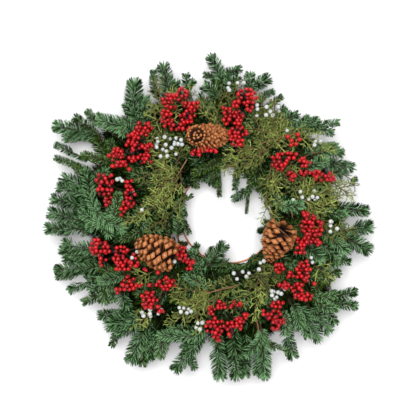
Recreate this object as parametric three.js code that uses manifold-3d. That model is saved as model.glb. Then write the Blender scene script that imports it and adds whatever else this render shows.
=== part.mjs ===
// A fresh evergreen wreath, lying on its back with its face up.
//
// A wire ring of two rails carries sixteen bunches of fir. Each bunch passes over the rails under a
// wire clamp and fans out into sprays. On the fir lie sprigs of juniper, picks of red berries, sprigs
// of white berries and three pine cones, and the stem of each runs down between two bunches to the ring.
//
// Millimetres and degrees. +Z is up, out of the wreath's face. Angles turn anticlockwise from +X, seen
// from above, and positions are counted from the middle of the ring until the last lines, which move
// the origin to the middle of the underside of the whole wreath's bounding box.

import * as THREE from "three";
import { mergeVertices } from "three/addons/utils/BufferGeometryUtils.js";
import Module from "manifold-3d";

const wasm = await Module();
wasm.setup();

// ---------------------------------------------------------------- driving dimensions

const ring = { innerRail: 90, outerRail: 104, wire: 1.5, innerSides: 8, outerSides: 6, steps: 32, ties: 4 };
const clamp = { count: 16, firstAt: 11.25, halfWidth: 7, height: 17.5, shoulder: 12.6, wire: 1.1 };
const bundle = { pitch: 2.4, rowRise: 2.1, floor: 5.6, rows: [3, 2, 1, 1] };
const fir = {
  outward: { butt: 84, held: 110, bow: 10 }, // where a spray starts and leaves its clamp, and its rise
  inward: { butt: 113, held: 97, bow: 4 }, // the same for a spray that points into the hole
  radii: [2.1, 2.1, 1.6, 1.1],
  pulledBack: 14, // how far the wood ends before the tip, which the last needles reach
  needle: { length: 25, radius: 1.2, pitch: 52, lean: 48, from: 0.28 },
};
const cone = {
  rings: 6, // of scales
  sides: 7, // scales in a ring
  core: 0.52, // the radius of the core, and where a scale's lip and tip are, as shares of the cone's
  lipAt: 0.93,
  tipAt: 1.04,
  scale: { width: 0.62, height: 0.3 }, // half its room round the cone and along it
  leans: [96, 40], // of the scales from the axis, at the base and at the apex
  form: { from: 0.1, spread: 0.62, power: 0.75 }, // of its outline, from a blunt base to a narrow apex
};
const berry = { radius: 4.6, stalk: 0.55 };
const pearl = { radius: 4, stalk: 0.5 }; // a white berry
// A branch under berries.
const branch = { radius: 1.4, endRadius: 1.1, pitch: 6.5, perStation: 2.4, halfLength: 1.1 };
const head = { drop: 8, dome: 10, filled: 0.84, unevenness: 3 }; // the dome that the berries lie over
const twig = { length: 32, radius: 1.2, pitch: 17, lean: 42 }; // of juniper
const coneWireRadius = 1;
const gap = 0.35; // the least clearance between two pieces
const floorGap = 1; // how far the greens stay above the surface
const levels = { berries: 74, hub: 54, pearls: 70, pearlHub: 52, juniper: 57 };
const hubIn = 0.93; // how far out a hub lies, as a share of where the berries above it are
const route = { // of a stem from the ring up to a hub, with the values that are tried in turn
  footHeight: 7,
  footReaches: [111, 118, 126, 136, 148],
  offsets: [0, 3, -3, 6, -6],
  kneeHeights: [40, 48, 32],
  kneeAt: 0.72, // of the hub's reach
};

// Each bunch of fir: the angle, reach and height of the tip of each of its sprays.
const firBunches = [
  [[1, 255, 34], [13, 240, 58], [21, 246, 30], [8, 128, 78], [20, 64, 26]],
  [[28, 238, 52], [40, 262, 34], [26, 208, 66], [40, 62, 24], [2, 34, 34]],
  [[48, 234, 30], [55, 226, 52], [62, 228, 34], [56, 194, 66], [80, 30, 26]],
  [[67, 240, 44], [74, 264, 30], [82, 260, 52], [76, 50, 22]],
  [[91, 264, 36], [96, 296, 54], [102, 260, 34], [107, 272, 56], [117, 40, 22]],
  [[114, 305, 56], [118, 300, 32], [125, 302, 62], [133, 262, 36]],
  [
    [139, 272, 34], [143, 322, 50], [148, 338, 30], [153, 362, 44], [145, 290, 64], [137, 72, 30],
    [150, 74, 24],
  ],
  [[158, 348, 30], [162, 338, 48], [167, 320, 34], [171, 322, 56], [178, 334, 36], [172, 262, 66]],
  [[184, 342, 54], [190, 316, 32], [195, 320, 48], [200, 337, 30], [182, 280, 64]],
  [[205, 327, 46], [211, 313, 30], [217, 302, 52], [207, 270, 62], [171, 74, 34]],
  [[228, 322, 32], [235, 328, 52], [241, 322, 36], [246, 292, 54], [267, 50, 44]],
  [[251, 304, 34], [258, 290, 54], [267, 303, 40], [252, 250, 64], [275, 80, 22]],
  [[273, 305, 54], [278, 300, 32], [283, 309, 46], [275, 257, 64], [301, 84, 26]],
  [[294, 289, 36], [300, 262, 54], [306, 288, 34], [312, 288, 52], [298, 240, 64]],
  [[317, 284, 34], [324, 292, 54], [330, 274, 36], [335, 238, 46], [326, 250, 64], [326, 68, 22]],
  [[338, 244, 34], [346, 268, 54], [355, 267, 36], [342, 222, 64], [348, 56, 24]],
];

// Each cone: the middle of its base, its apex and its greatest radius.
const cones = [
  { base: [-62, 149, 80], apex: [4, 152, 46], radius: 26 },
  { base: [-103, -79, 72], apex: [-174, -52, 64], radius: 33 },
  { base: [97, -24, 77], apex: [71, -88, 62], radius: 32 },
];

// Each pick of red berries: its heads, as x, y, half width, half depth and number of berries.
const berryPicks = [
  [[-93, 211, 26, 17, 4], [-112, 178, 12, 14, 3], [-74, 180, 13, 16, 3]],
  [[-154, 158, 16, 14, 4], [-163, 126, 15, 16, 4]],
  [[-154, 98, 23, 10, 3], [-205, 104, 16, 14, 4]],
  [[-221, 49, 16, 21, 4], [-181, 33, 11, 25, 4]],
  [[-48, 106, 20, 9, 4]],
  [[31, 215, 18, 20, 4], [8, 184, 19, 16, 4]],
  [[24, 136, 15, 17, 4]],
  [[98, 92, 21, 19, 4], [136, 92, 12, 17, 3], [170, 70, 20, 14, 3]],
  [[155, -10, 19, 25, 4], [139, -62, 12, 14, 3]],
  [[92, -100, 10, 10, 2], [130, -102, 19, 14, 4], [104, -128, 13, 12, 3], [137, -146, 19, 16, 4]],
  [[81, -182, 18, 24, 5]],
  [[-5, -163, 25, 10, 3], [-32, -205, 13, 20, 3], [14, -195, 18, 20, 4]],
  [[-234, -56, 18, 19, 4], [-203, -88, 19, 19, 4]],
  [[-188, -130, 18, 16, 4], [-136, -138, 18, 14, 3], [-104, -130, 14, 12, 3]],
  [[-70, -72, 11, 20, 4]],
];

// Each sprig of white berries: x, y, half width, half depth and number of berries.
const pearlSprigs = [
  [-110, 125, 24, 20, 5],
  [67, 194, 20, 14, 4],
  [136, 30, 22, 12, 4],
  [186, -24, 12, 16, 3],
  [84, -152, 16, 10, 3],
  [26, -112, 18, 8, 3],
  [-78, -176, 14, 10, 4],
  [-150, -182, 16, 8, 3],
];

// Each sprig of juniper: x and y of the foot of its leafy part, and x and y of its tip.
const juniperSprigs = [
  [-124, 176, -128, 243],
  [-96, 70, -142, 142],
  [-106, 58, -178, -8],
  [4, 192, 18, 240],
  [96, 150, 46, 206],
  [62, 118, 2, 96],
  [88, 138, 182, 142],
  [88, 74, 92, 22],
  [150, 30, 232, 56],
  [72, -96, 60, -150],
  [56, -132, 4, -134],
  [-34, -152, -98, -150],
];

const material = (colour, roughness, metalness = 0) =>
  new THREE.MeshStandardMaterial({ color: new THREE.Color(...colour), roughness, metalness });
const finishes = {
  copperWire: material([0.55, 0.27, 0.15], 0.4, 0.9),
  firGreen: material([0.11, 0.2, 0.11], 0.6),
  coneBrown: material([0.36, 0.17, 0.08], 0.75),
  berryRed: material([0.52, 0.02, 0.03], 0.25),
  pearlWhite: material([0.85, 0.86, 0.84], 0.5),
  juniperOlive: material([0.21, 0.23, 0.07], 0.7),
};

// ---------------------------------------------------------------- small tools

const radians = THREE.MathUtils.degToRad;
const goldenAngle = Math.PI * (3 - Math.sqrt(5));
const up = new THREE.Vector3(0, 0, 1);
const clampStep = 360 / clamp.count;

/** A point from an angle round the ring, a reach from its middle and a height. */
function polar(angle, reach, height) {
  return new THREE.Vector3(reach * Math.cos(radians(angle)), reach * Math.sin(radians(angle)), height);
}

/** A repeatable stream of numbers from 0 to 1. */
function randomStream(seed) {
  let state = seed;
  return () => {
    state = (state + 0x6d2b79f5) | 0;
    let mixed = Math.imul(state ^ (state >>> 15), 1 | state);
    mixed = (mixed + Math.imul(mixed ^ (mixed >>> 7), 61 | mixed)) ^ mixed;
    return ((mixed ^ (mixed >>> 14)) >>> 0) / 4294967296;
  };
}

/** A closed geometry as a solid with its faces pointing out. */
function solidOf(geometry) {
  const bare = new THREE.BufferGeometry().setAttribute("position", geometry.getAttribute("position"));
  if (geometry.index) bare.setIndex(geometry.index);
  const merged = mergeVertices(bare, 1e-4);
  const vertProperties = merged.attributes.position.array;
  const build = (triVerts) => new wasm.Manifold(new wasm.Mesh({ numProp: 3, vertProperties, triVerts }));
  const solid = build(new Uint32Array(merged.index.array));
  return solid.volume() > 0 ? solid : build(new Uint32Array(merged.index.array).reverse());
}

/** A solid as a mesh. Loose scraps left by a cut are dropped. */
function meshOf(name, solid, finish) {
  const [largest] = solid.decompose().sort((a, b) => b.volume() - a.volume());
  const { numProp, vertProperties, triVerts } = largest.getMesh();
  const geometry = new THREE.BufferGeometry();
  geometry.setAttribute("position", new THREE.BufferAttribute(new Float32Array(vertProperties), numProp));
  geometry.setIndex(new THREE.BufferAttribute(new Uint32Array(triVerts), 1));
  geometry.computeVertexNormals();
  const mesh = new THREE.Mesh(geometry, finish);
  mesh.name = name;
  return mesh;
}

const joined = (solids) => solids.reduce((sum, solid) => sum.add(solid));

/** The directions along, beside and above a line of points at one of them. */
function axesAt(points, i, flat = up) {
  const before = points[Math.max(i - 1, 0)];
  const after = points[Math.min(i + 1, points.length - 1)];
  const along = after.clone().sub(before).normalize();
  const side = new THREE.Vector3().crossVectors(along, flat).normalize();
  return { along, side, above: new THREE.Vector3().crossVectors(side, along) };
}

const lineLength = (points) =>
  points.slice(1).reduce((sum, point, i) => sum + point.distanceTo(points[i]), 0);

/** The point, the axes and the value, out of one for each point, at a distance along a line. */
function alongLine(points, distance, values) {
  let leg = 0;
  let left = distance;
  const length = () => points[leg].distanceTo(points[leg + 1]);
  while (leg < points.length - 2 && left > length()) left -= points[leg].distanceTo(points[++leg]);
  const share = THREE.MathUtils.clamp(left / length(), 0, 1);
  const point = points[leg].clone().lerp(points[leg + 1], share);
  const radius = THREE.MathUtils.lerp(values[leg], values[leg + 1], share);
  return { point, radius, ...axesAt([points[leg], points[leg + 1]], 0) };
}

/** A direction square to a line, at an angle from its side towards its upper side. */
const outward = ({ side, above }, azimuth) =>
  side.clone().multiplyScalar(Math.cos(azimuth)).addScaledVector(above, Math.sin(azimuth));

/** A direction that leans out from a line. */
const leaning = (axes, lean, azimuth) =>
  outward(axes, azimuth).multiplyScalar(Math.sin(lean)).addScaledVector(axes.along, Math.cos(lean));

/**
 * A closed body through rings of corners. Each facet between two rings can be drawn out into a barb:
 * a chain of four-cornered loops that ends in a tip. A tip can also close the last ring.
 */
function drawnOutBody(rings, sides, barbOf = () => null, tip = null) {
  const points = [];
  const triangles = [];
  const add = (point) => points.push(point) - 1;
  const between = (p, q) => points[p].distanceTo(points[q]);
  const close = (loop, end) => {
    const start = !end && loop.length === 4 && between(loop[0], loop[2]) > between(loop[1], loop[3]) ? 1 : 0;
    const apex = end ? add(end) : loop[start];
    loop.forEach((corner, k) => triangles.push([corner, loop[(k + 1) % loop.length], apex]));
  };
  const join = (loop, next) => loop.forEach((corner, k) => {
    const after = (k + 1) % loop.length;
    triangles.push([corner, loop[after], next[after]], [corner, next[after], next[k]]);
  });
  const drawOut = (facet, { loops, tip: end }) => {
    const [a, b, , d] = facet.map((corner) => points[corner]);
    let loop = facet;
    for (const { centre, direction, size } of loops) {
      const u = b.clone().sub(a).projectOnPlane(direction).normalize();
      const v = new THREE.Vector3().crossVectors(direction, u);
      if (v.dot(d.clone().sub(a)) < 0) v.negate();
      const next = [[-1, -1], [1, -1], [1, 1], [-1, 1]].map(([p, q]) =>
        add(centre.clone().addScaledVector(u, p * size[0]).addScaledVector(v, q * size[1])));
      join(loop, next);
      loop = next;
    }
    close(loop, end);
  };
  const corners = rings.map((ring) => Array.from({ length: sides }, (_, k) => {
    const out = outward(ring, (ring.turn ?? 0) + (2 * Math.PI * k) / sides);
    return add(ring.point.clone().addScaledVector(out, ring.radius));
  }));
  close([...corners[0]].reverse(), null);
  for (let j = 0; j + 1 < rings.length; j++) {
    for (let face = 0; face < sides; face++) {
      const after = (face + 1) % sides;
      const facet = [corners[j][face], corners[j][after], corners[j + 1][after], corners[j + 1][face]];
      const barb = barbOf(j, face);
      if (barb) drawOut(facet, barb);
      else close(facet, null);
    }
  }
  close(corners[rings.length - 1], tip);
  const geometry = new THREE.BufferGeometry().setFromPoints(points);
  geometry.setIndex(triangles.filter(([p, q, r]) => p !== q && q !== r && p !== r).flat());
  return solidOf(geometry);
}

/**
 * Turns each ring to follow the one before it, so that no stem is wrung. A ring that has a turn of
 * its own keeps its facets where they are, and shift counts how many of them its first corner moved.
 */
function steadied(rings, sides) {
  const step = (2 * Math.PI) / sides;
  let lead = null;
  for (const ring of rings) {
    const wanted = lead ? Math.atan2(lead.dot(ring.above), lead.dot(ring.side)) : Math.PI / 4;
    const turn = ring.turn ?? wanted;
    ring.shift = Math.round((wanted - turn) / step);
    ring.turn = turn + ring.shift * step;
    lead = outward(ring, ring.turn);
  }
  return rings;
}

/** A plain stem through some points, with a radius at each. */
function stem(points, radii, sides = 3, flat = up) {
  const rings = points.map((point, i) => ({ point, radius: radii[i], ...axesAt(points, i, flat) }));
  return drawnOutBody(steadied(rings, sides), sides);
}

/** A straight three-sided stem that ends in a point. */
function spike(from, direction, length, radius) {
  const to = from.clone().addScaledVector(direction, length);
  return drawnOutBody([{ point: from, radius, ...axesAt([from, to], 0) }], 3, undefined, to);
}

/**
 * The places along a line where barbs can grow: pairs of rings close together, each pair turned
 * against the one before it, with the middle and the direction of each facet between them.
 */
function stationsAlong(line, radii, distances, { sides = 3, halfLength, firstTurn, turnStep = 0 }) {
  return distances.map((distance, i) => {
    const turn = firstTurn + i * turnStep;
    const root = alongLine(line, distance, radii);
    const facets = Array.from({ length: sides }, (_, face) => {
      const azimuth = turn + ((face + 0.5) * 2 * Math.PI) / sides;
      const out = outward(root, azimuth);
      const middle = root.point.clone().addScaledVector(out, root.radius * Math.cos(Math.PI / sides));
      return { azimuth, out, middle, barb: null };
    });
    return { distance, halfLength, turn, root, facets };
  });
}

/** A stem along a line, with the barbs that have grown at its stations. */
function barbedStem(line, radii, stations, tip, sides = 3) {
  const marks = line.map((_, i) => ({ at: lineLength(line.slice(0, i + 1)) }));
  const rings = marks.filter(({ at }) => stations.every((s) => Math.abs(s.distance - at) > 2 * s.halfLength));
  for (const station of stations) {
    rings.push({ at: station.distance - station.halfLength, station, turn: station.turn });
    rings.push({ at: station.distance + station.halfLength, turn: station.turn });
  }
  rings.sort((a, b) => a.at - b.at);
  steadied(rings.map((ring) => Object.assign(ring, alongLine(line, ring.at, radii))), sides);
  const barbOf = (j, face) => {
    const facet = THREE.MathUtils.euclideanModulo(face + rings[j].shift, sides);
    return rings[j].station?.facets[facet].barb;
  };
  return drawnOutBody(rings, sides, barbOf, tip);
}

// ---------------------------------------------------------------- keeping the pieces clear of each other

const standing = []; // each solid that is in place, with the node that it belongs to
const nodes = new Map();

function isClearOf(solid, others) {
  const box = solid.boundingBox();
  return others.every((other) =>
    [0, 1, 2].some((k) => box.min[k] > other.box.max[k] + gap || other.box.min[k] > box.max[k] + gap) ||
    solid.minGap(other.solid, 2 * gap) >= gap);
}

/** Whether a solid is clear of all other nodes and of the surface. */
const isClear = (solid, node) =>
  solid.boundingBox().min[2] >= floorGap && isClearOf(solid, standing.filter((other) => other.node !== node));

/** Whether the outer part of a barb is clear of its own node, apart from the stem that it grows on. */
const isLoose = (solid, node, own) =>
  isClearOf(solid, standing.filter((other) => other.node === node && other !== own));

/** Takes up the room of a solid, so that what comes later keeps clear of it. */
function occupy(solid, node) {
  standing.push({ solid, node, box: solid.boundingBox() });
  return standing[standing.length - 1];
}

function addTo(node, solid, finish) {
  if (!nodes.has(node)) nodes.set(node, { solids: [], finish });
  nodes.get(node).solids.push(solid);
}

/** The first of some ways to make a piece that is clear of all other nodes. */
function firstClear(ways, node) {
  for (const way of ways) {
    const made = way();
    if (isClear(made.solid, node)) return { ...made, own: occupy(made.solid, node) };
  }
  return null;
}

/** Grows a barb on the first facet and in the first way that leaves it clear of everything. */
function growBarb(ways, node, own) {
  for (const way of ways) {
    const { facet, barb, whole, outer } = way();
    if (isClear(whole, node) && isLoose(outer, node, own)) {
      occupy(whole, node);
      facet.barb = barb;
      return;
    }
  }
}

// ---------------------------------------------------------------- the wire ring and its clamps

/** One rail: a wire with a flat underside, bent into a ring. */
function rail(reach, sides) {
  const corner = ring.wire / Math.cos(Math.PI / sides);
  const profile = Array.from({ length: sides + 1 }, (_, i) => {
    const angle = (2 * Math.PI * ((i % sides) + 0.5)) / sides + Math.PI / 2;
    return new THREE.Vector2(reach + corner * Math.cos(angle), ring.wire + corner * Math.sin(angle));
  });
  const halfStep = Math.PI / ring.steps; // so that a flat of the wire faces each clamp
  return solidOf(new THREE.LatheGeometry(profile, ring.steps, halfStep).rotateX(Math.PI / 2));
}

/** A clamp's arch over a bundle of stems, with both feet in the outer rail. */
function clampArch(angle) {
  const outline = [
    [-1, ring.wire],
    [-0.95, clamp.shoulder],
    [0, clamp.height],
    [0.95, clamp.shoulder],
    [1, ring.wire],
  ];
  const points = outline.map(([across, height]) =>
    polar(angle, ring.outerRail, height).add(polar(angle + 90, across * clamp.halfWidth, 0)));
  return stem(points, points.map(() => clamp.wire), 3, polar(angle, 1, 0));
}

/** A short wire between the two rails. */
function tieWire(angle) {
  const ends = [ring.innerRail, ring.outerRail].map((reach) => polar(angle, reach, ring.wire));
  return stem(ends, [clamp.wire, clamp.wire], 3);
}

function buildRing() {
  const parts = [rail(ring.innerRail, ring.innerSides), rail(ring.outerRail, ring.outerSides)];
  for (let i = 0; i < clamp.count; i++) parts.push(clampArch(clamp.firstAt + i * clampStep));
  for (let i = 0; i < ring.ties; i++) parts.push(tieWire(clamp.firstAt + (i * 360) / ring.ties));
  for (const part of parts) {
    occupy(part, "clamp_ring");
    addTo("clamp_ring", part, finishes.copperWire);
  }
}

// ---------------------------------------------------------------- fir

/** Where the nth stem of a bundle lies: how far across and how high. */
function bundleSeat(n) {
  let row = 0;
  let first = 0;
  while (n >= first + bundle.rows[row]) first += bundle.rows[row++];
  const across = n - first - (bundle.rows[row] - 1) / 2;
  return [across * bundle.pitch, bundle.floor + row * bundle.rowRise];
}

/** The line of a spray: from its butt over the rails, under the clamp and out to its tip. */
function sprayLine(clampAngle, seat, [angle, reach, height], lift) {
  const run = reach < ring.innerRail ? fir.inward : fir.outward;
  const across = polar(clampAngle + 90, seat[0], 0);
  const butt = polar(clampAngle, run.butt, seat[1]).add(across);
  const held = polar(clampAngle, run.held, seat[1]).add(across);
  const tip = polar(angle, reach, height + lift);
  tip.addScaledVector(held.clone().sub(tip).normalize(), fir.pulledBack);
  const middle = held.clone().lerp(tip, 0.5);
  middle.z += run.bow + lift / 2;
  return [butt, held, middle, tip];
}

const sprays = [];

function placeSprays() {
  const lifts = [0, 5, -5, 10, -10, 16, -16, 24];
  firBunches.forEach((tips, i) => {
    const node = `fir_bunch_${String(i + 1).padStart(2, "0")}`;
    const clampAngle = clamp.firstAt + i * clampStep;
    tips.forEach((tip, n) => {
      const ways = lifts.map((lift) => () => {
        const line = sprayLine(clampAngle, bundleSeat(n), tip, lift);
        return { line, solid: stem(line, fir.radii, 6) };
      });
      const made = firstClear(ways, node);
      if (made) sprays.push({ node, line: made.line, own: made.own });
      else console.warn("no room for a spray of", node, tip);
    });
  });
}

/** A needle on a facet, leaned and turned a little until it is clear. */
function needleWays(station, facet, { length, radius, lean }) {
  const changes = [[0, 0], [0, 0.3], [0, -0.3], [-14, 0], [-14, 0.4], [-14, -0.4], [-26, 0], [10, 0]];
  const nearStem = 4.5; // the part of its length that may touch its own stem
  return changes.map(([more, turn]) => () => {
    const direction = leaning(station.root, radians(lean + more), facet.azimuth + turn);
    const tip = station.root.point.clone().addScaledVector(direction, length);
    const outer = station.root.point.clone().addScaledVector(direction, nearStem);
    return {
      facet,
      barb: { loops: [], tip },
      whole: spike(station.root.point, direction, length, radius),
      outer: spike(outer, direction, length - nearStem, radius),
    };
  });
}

/** Needles on all sides of a spray and one at its end. */
function growNeedles({ node, line, own }, turn) {
  const { length, radius, pitch, from } = fir.needle;
  const whole = lineLength(line);
  const bare = whole * from;
  const count = Math.max(1, Math.round((whole - bare) / pitch));
  const distances = Array.from({ length: count }, (_, i) => bare + ((whole - bare) * (i + 0.72)) / count);
  const grid = { sides: 4, halfLength: radius, firstTurn: turn, turnStep: Math.PI / 4 };
  const stations = stationsAlong(line, fir.radii, distances, grid);
  stations.forEach((station) => station.facets.forEach((facet) =>
    growBarb(needleWays(station, facet, fir.needle), node, own)));
  const end = alongLine(line, whole, fir.radii);
  const reach = [0.6, 0.4, 0.2, 0.05].find((share) =>
    isClear(spike(end.point, end.along, length * share, end.radius), node));
  const tip = end.point.clone().addScaledVector(end.along, length * reach);
  addTo(node, barbedStem(line, fir.radii, stations, tip, 4), finishes.firGreen);
}

// ---------------------------------------------------------------- stems that hold what lies on the fir

/** A line from the ring up between two bunches to a hub, along the first way that is clear. */
function routeUp(node, hub, radius) {
  const hubAngle = THREE.MathUtils.radToDeg(Math.atan2(hub.y, hub.x));
  const hubReach = Math.hypot(hub.x, hub.y);
  const seam = Math.round(hubAngle / clampStep) * clampStep;
  const ways = [];
  for (const side of [0, 1, -1]) {
    for (const footReach of route.footReaches) {
      for (const offset of route.offsets) {
        for (const kneeHeight of route.kneeHeights) {
          ways.push(() => {
            const angle = seam + side * clampStep + offset;
            const turned = THREE.MathUtils.lerp(angle, hubAngle, 0.35);
            const foot = polar(angle, footReach, route.footHeight);
            const knee = polar(turned, Math.max(footReach + 8, hubReach * route.kneeAt), kneeHeight);
            const line = [foot, knee, hub];
            return { line, solid: stem(line, [radius, radius, radius], 5) };
          });
        }
      }
    }
  }
  const made = firstClear(ways, node);
  if (!made) console.warn("no way up for", node);
  return made?.line ?? [hub.clone().setZ(hub.z - 4), hub];
}

// ---------------------------------------------------------------- pine cones

/** How wide a cone is, as a share of its greatest radius, from base (0) to apex (1). */
function coneWidth(share) {
  const { from, spread, power } = cone.form;
  return Math.pow(Math.sin(Math.PI * Math.pow(from + (1 - from) * share, spread)), power);
}

function buildCone({ base, apex, radius }, i) {
  const node = `pine_cone_${i + 1}`;
  const from = new THREE.Vector3(...base);
  const to = new THREE.Vector3(...apex);
  const length = from.distanceTo(to);
  const axes = axesAt([from, to], 0);
  const rings = Array.from({ length: cone.rings + 1 }, (_, j) => {
    const share = 0.02 + (0.9 * j) / cone.rings;
    return {
      point: from.clone().lerp(to, share),
      radius: radius * cone.core * coneWidth(share),
      turn: (j * Math.PI) / cone.sides,
      share,
      ...axes,
    };
  });
  const scaleOf = (j, face) => {
    const { share, turn } = rings[j];
    const azimuth = turn + ((face + 0.75) * 2 * Math.PI) / cone.sides; // midway between its two rings
    const lean = radians(THREE.MathUtils.lerp(...cone.leans, share));
    const direction = leaning(axes, lean, azimuth);
    const reach = radius * coneWidth(share + 0.05);
    const root = rings[j].point.clone().lerp(rings[j + 1].point, 0.5);
    const at = (part) => root.clone().addScaledVector(direction, reach * part);
    const size = [
      (reach * Math.PI * cone.scale.width) / cone.sides,
      (length * cone.scale.height) / cone.rings,
    ];
    return { loops: [{ centre: at(cone.lipAt), direction, size }], tip: at(cone.tipAt) };
  };
  const solid = drawnOutBody(rings, cone.sides, scaleOf, to);
  if (!isClear(solid, node)) console.warn("not clear:", node);
  occupy(solid, node);
  addTo(node, solid, finishes.coneBrown);
}

/** The wire that holds a cone: up from the ring, ending just under the cone. */
function buildConeWire({ base, apex, radius }, i) {
  const under = new THREE.Vector3(...base).lerp(new THREE.Vector3(...apex), 0.45);
  under.z -= radius * 1.02;
  const line = routeUp(`cone_wire_${i + 1}`, under, coneWireRadius);
  addTo(`cone_wire_${i + 1}`, stem(line, line.map(() => coneWireRadius)), finishes.copperWire);
}

// ---------------------------------------------------------------- berries

/** The ways to hang a berry at a place from one of the free facets of a branch. */
function berryWays(stations, centre, { radius, stalk }) {
  const ways = [];
  for (const { facets } of stations) {
    for (const facet of facets.filter(({ barb }) => !barb)) {
      const direction = centre.clone().sub(facet.middle).normalize();
      const fit = direction.dot(facet.out);
      if (fit < 0.25) continue;
      const loopAt = (part, size) => {
        const middle = centre.clone().addScaledVector(direction, part * radius);
        return { centre: middle, direction, size: [size, size] };
      };
      const loops = [loopAt(-1.05, stalk), loopAt(-0.45, radius * 0.63), loopAt(0.45, radius * 0.63)];
      const tip = centre.clone().addScaledVector(direction, radius);
      const make = () => {
        const points = [facet.middle, loops[0].centre, loops[1].centre, loops[2].centre, tip];
        const radii = [stalk * 1.5, stalk * 1.5, radius * 0.92, radius * 0.92, 0.2];
        const outer = [facet.middle.clone().addScaledVector(direction, 2), ...points.slice(1)];
        return { facet, barb: { loops, tip }, whole: stem(points, radii, 5), outer: stem(outer, radii, 5) };
      };
      ways.push({ fit, make });
    }
  }
  return ways.sort((a, b) => b.fit - a.fit).map(({ make }) => make);
}

/** A branch on from a trunk to a head of berries, and the berries over a flattened dome above its end. */
function growHead(node, trunk, place, { level: wantedLevel, kind, finish, random }) {
  const [headX, headY, halfWidth, halfDepth, count] = place;
  const hub = trunk[trunk.length - 1];
  const ends = [branch.radius, branch.endRadius];
  const branchWays = [0, 6, -6, 12, -12, 18].flatMap((lift) =>
    [[0, 0], [6, 0], [-6, 0], [0, 6], [0, -6]].map(([moveX, moveY]) => () => {
      const top = new THREE.Vector3(headX + moveX, headY + moveY, wantedLevel + lift);
      const end = top.clone().setZ(top.z - head.drop);
      end.addScaledVector(end.clone().sub(hub).normalize(), head.drop / 2);
      return { top, end, solid: stem([hub, end], ends, 6) };
    }));
  const made = firstClear(branchWays, node);
  if (!made) {
    console.warn("no branch to a head of", node, headX, headY);
    return;
  }
  const line = [...trunk, made.end];
  const radii = line.map((_, i) => ends[i === line.length - 1 ? 1 : 0]);
  const { x, y, z: level } = made.top;
  const last = lineLength(line) - 1.5 * branch.halfLength;
  const stationCount = Math.ceil(count / branch.perStation);
  const pitch = Math.min(branch.pitch, (hub.distanceTo(made.end) - 3) / stationCount);
  const distances = Array.from({ length: stationCount }, (_, i) => last - (stationCount - 1 - i) * pitch);
  const grid = { halfLength: branch.halfLength, firstTurn: Math.PI / 6, turnStep: Math.PI / 3 };
  const stations = stationsAlong(line, radii, distances, grid);
  for (let i = 0; i < count; i++) {
    const share = Math.sqrt((i + 0.6) / count);
    const rise = head.unevenness * random();
    const ways = [0, 0.5, -0.5, 1, -1, 1.6, -1.6, 2.4, -2.4].flatMap((extra) => {
      const turn = i * goldenAngle + extra;
      const centre = new THREE.Vector3(
        x + Math.cos(turn) * share * head.filled * halfWidth,
        y + Math.sin(turn) * share * head.filled * halfDepth,
        level + head.dome * Math.sqrt(1.05 - share * share) + rise);
      return berryWays(stations, centre, kind);
    });
    growBarb(ways, node, made.own);
  }
  addTo(node, barbedStem(line, radii, stations, null), finish);
}

const redHeads = { level: levels.berries, kind: berry, finish: finishes.berryRed };
const whiteHeads = { level: levels.pearls, kind: pearl, finish: finishes.pearlWhite };

function buildBerryPick(heads, i) {
  const node = `red_berry_pick_${String(i + 1).padStart(2, "0")}`;
  const random = randomStream(100 + i);
  const hub = new THREE.Vector3();
  heads.forEach(([x, y]) => hub.add(new THREE.Vector3(x, y, 0)));
  hub.multiplyScalar(hubIn / heads.length).setZ(levels.hub);
  const trunk = routeUp(node, hub, branch.radius);
  heads.forEach(([x, y, ...rest], k) => {
    const back = hub.clone().sub(new THREE.Vector3(x, y, levels.berries - head.drop)).normalize();
    const from = k === 0 ? trunk : [hub.clone().addScaledVector(back, 2)];
    growHead(node, from, [x, y, ...rest], { ...redHeads, random });
  });
}

function buildPearlSprig(place, i) {
  const node = `white_berry_sprig_${i + 1}`;
  const hub = new THREE.Vector3(place[0], place[1], 0).multiplyScalar(hubIn).setZ(levels.pearlHub);
  const trunk = routeUp(node, hub, branch.radius);
  growHead(node, trunk, place, { ...whiteHeads, random: randomStream(200 + i) });
}

// ---------------------------------------------------------------- juniper

/** A flat sprig: a leafy axis with twigs on both sides and on top. */
function buildJuniper([footX, footY, tipX, tipY], i) {
  const node = `juniper_sprig_${String(i + 1).padStart(2, "0")}`;
  const finish = finishes.juniperOlive;
  const foot = new THREE.Vector3(footX, footY, levels.juniper - 5);
  const trunk = routeUp(node, foot, 1.5);
  const ways = [0, 5, -5, 10, -10, 16, 22, 28].map((lift) => () => {
    const end = new THREE.Vector3(tipX, tipY, levels.juniper + 4 + lift);
    const middle = foot.clone().lerp(end, 0.5).setZ(levels.juniper + 4 + lift * 0.7);
    return { middle, end, solid: stem([foot, middle, end], [1.5, 1.4, 1.1], 6) };
  });
  const made = firstClear(ways, node);
  if (!made) {
    console.warn("no room for the axis of", node);
    return;
  }
  const line = [...trunk, made.middle, made.end];
  const radii = line.map((_, k) => (k === line.length - 1 ? 1.1 : 1.4));
  const bare = lineLength(trunk);
  const whole = lineLength(line) - bare;
  const count = Math.round(whole / twig.pitch);
  const distances = Array.from({ length: count }, (_, k) => bare + whole * (0.1 + (0.82 * k) / count));
  const grid = { halfLength: twig.radius, firstTurn: -Math.PI / 2 };
  const stations = stationsAlong(line, radii, distances, grid);
  stations.forEach((station, k) => station.facets.forEach((facet, f) => {
    const length = twig.length * (1.05 - (0.55 * k) / count) * (f === 1 ? 0.6 : 1);
    growBarb(needleWays(station, facet, { ...twig, length }), node, made.own);
  }));
  const end = alongLine(line, bare + whole, radii);
  const tip = end.point.clone().addScaledVector(end.along, 6);
  addTo(node, barbedStem(line, radii, stations, tip), finish);
}

// ---------------------------------------------------------------- putting it together

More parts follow.
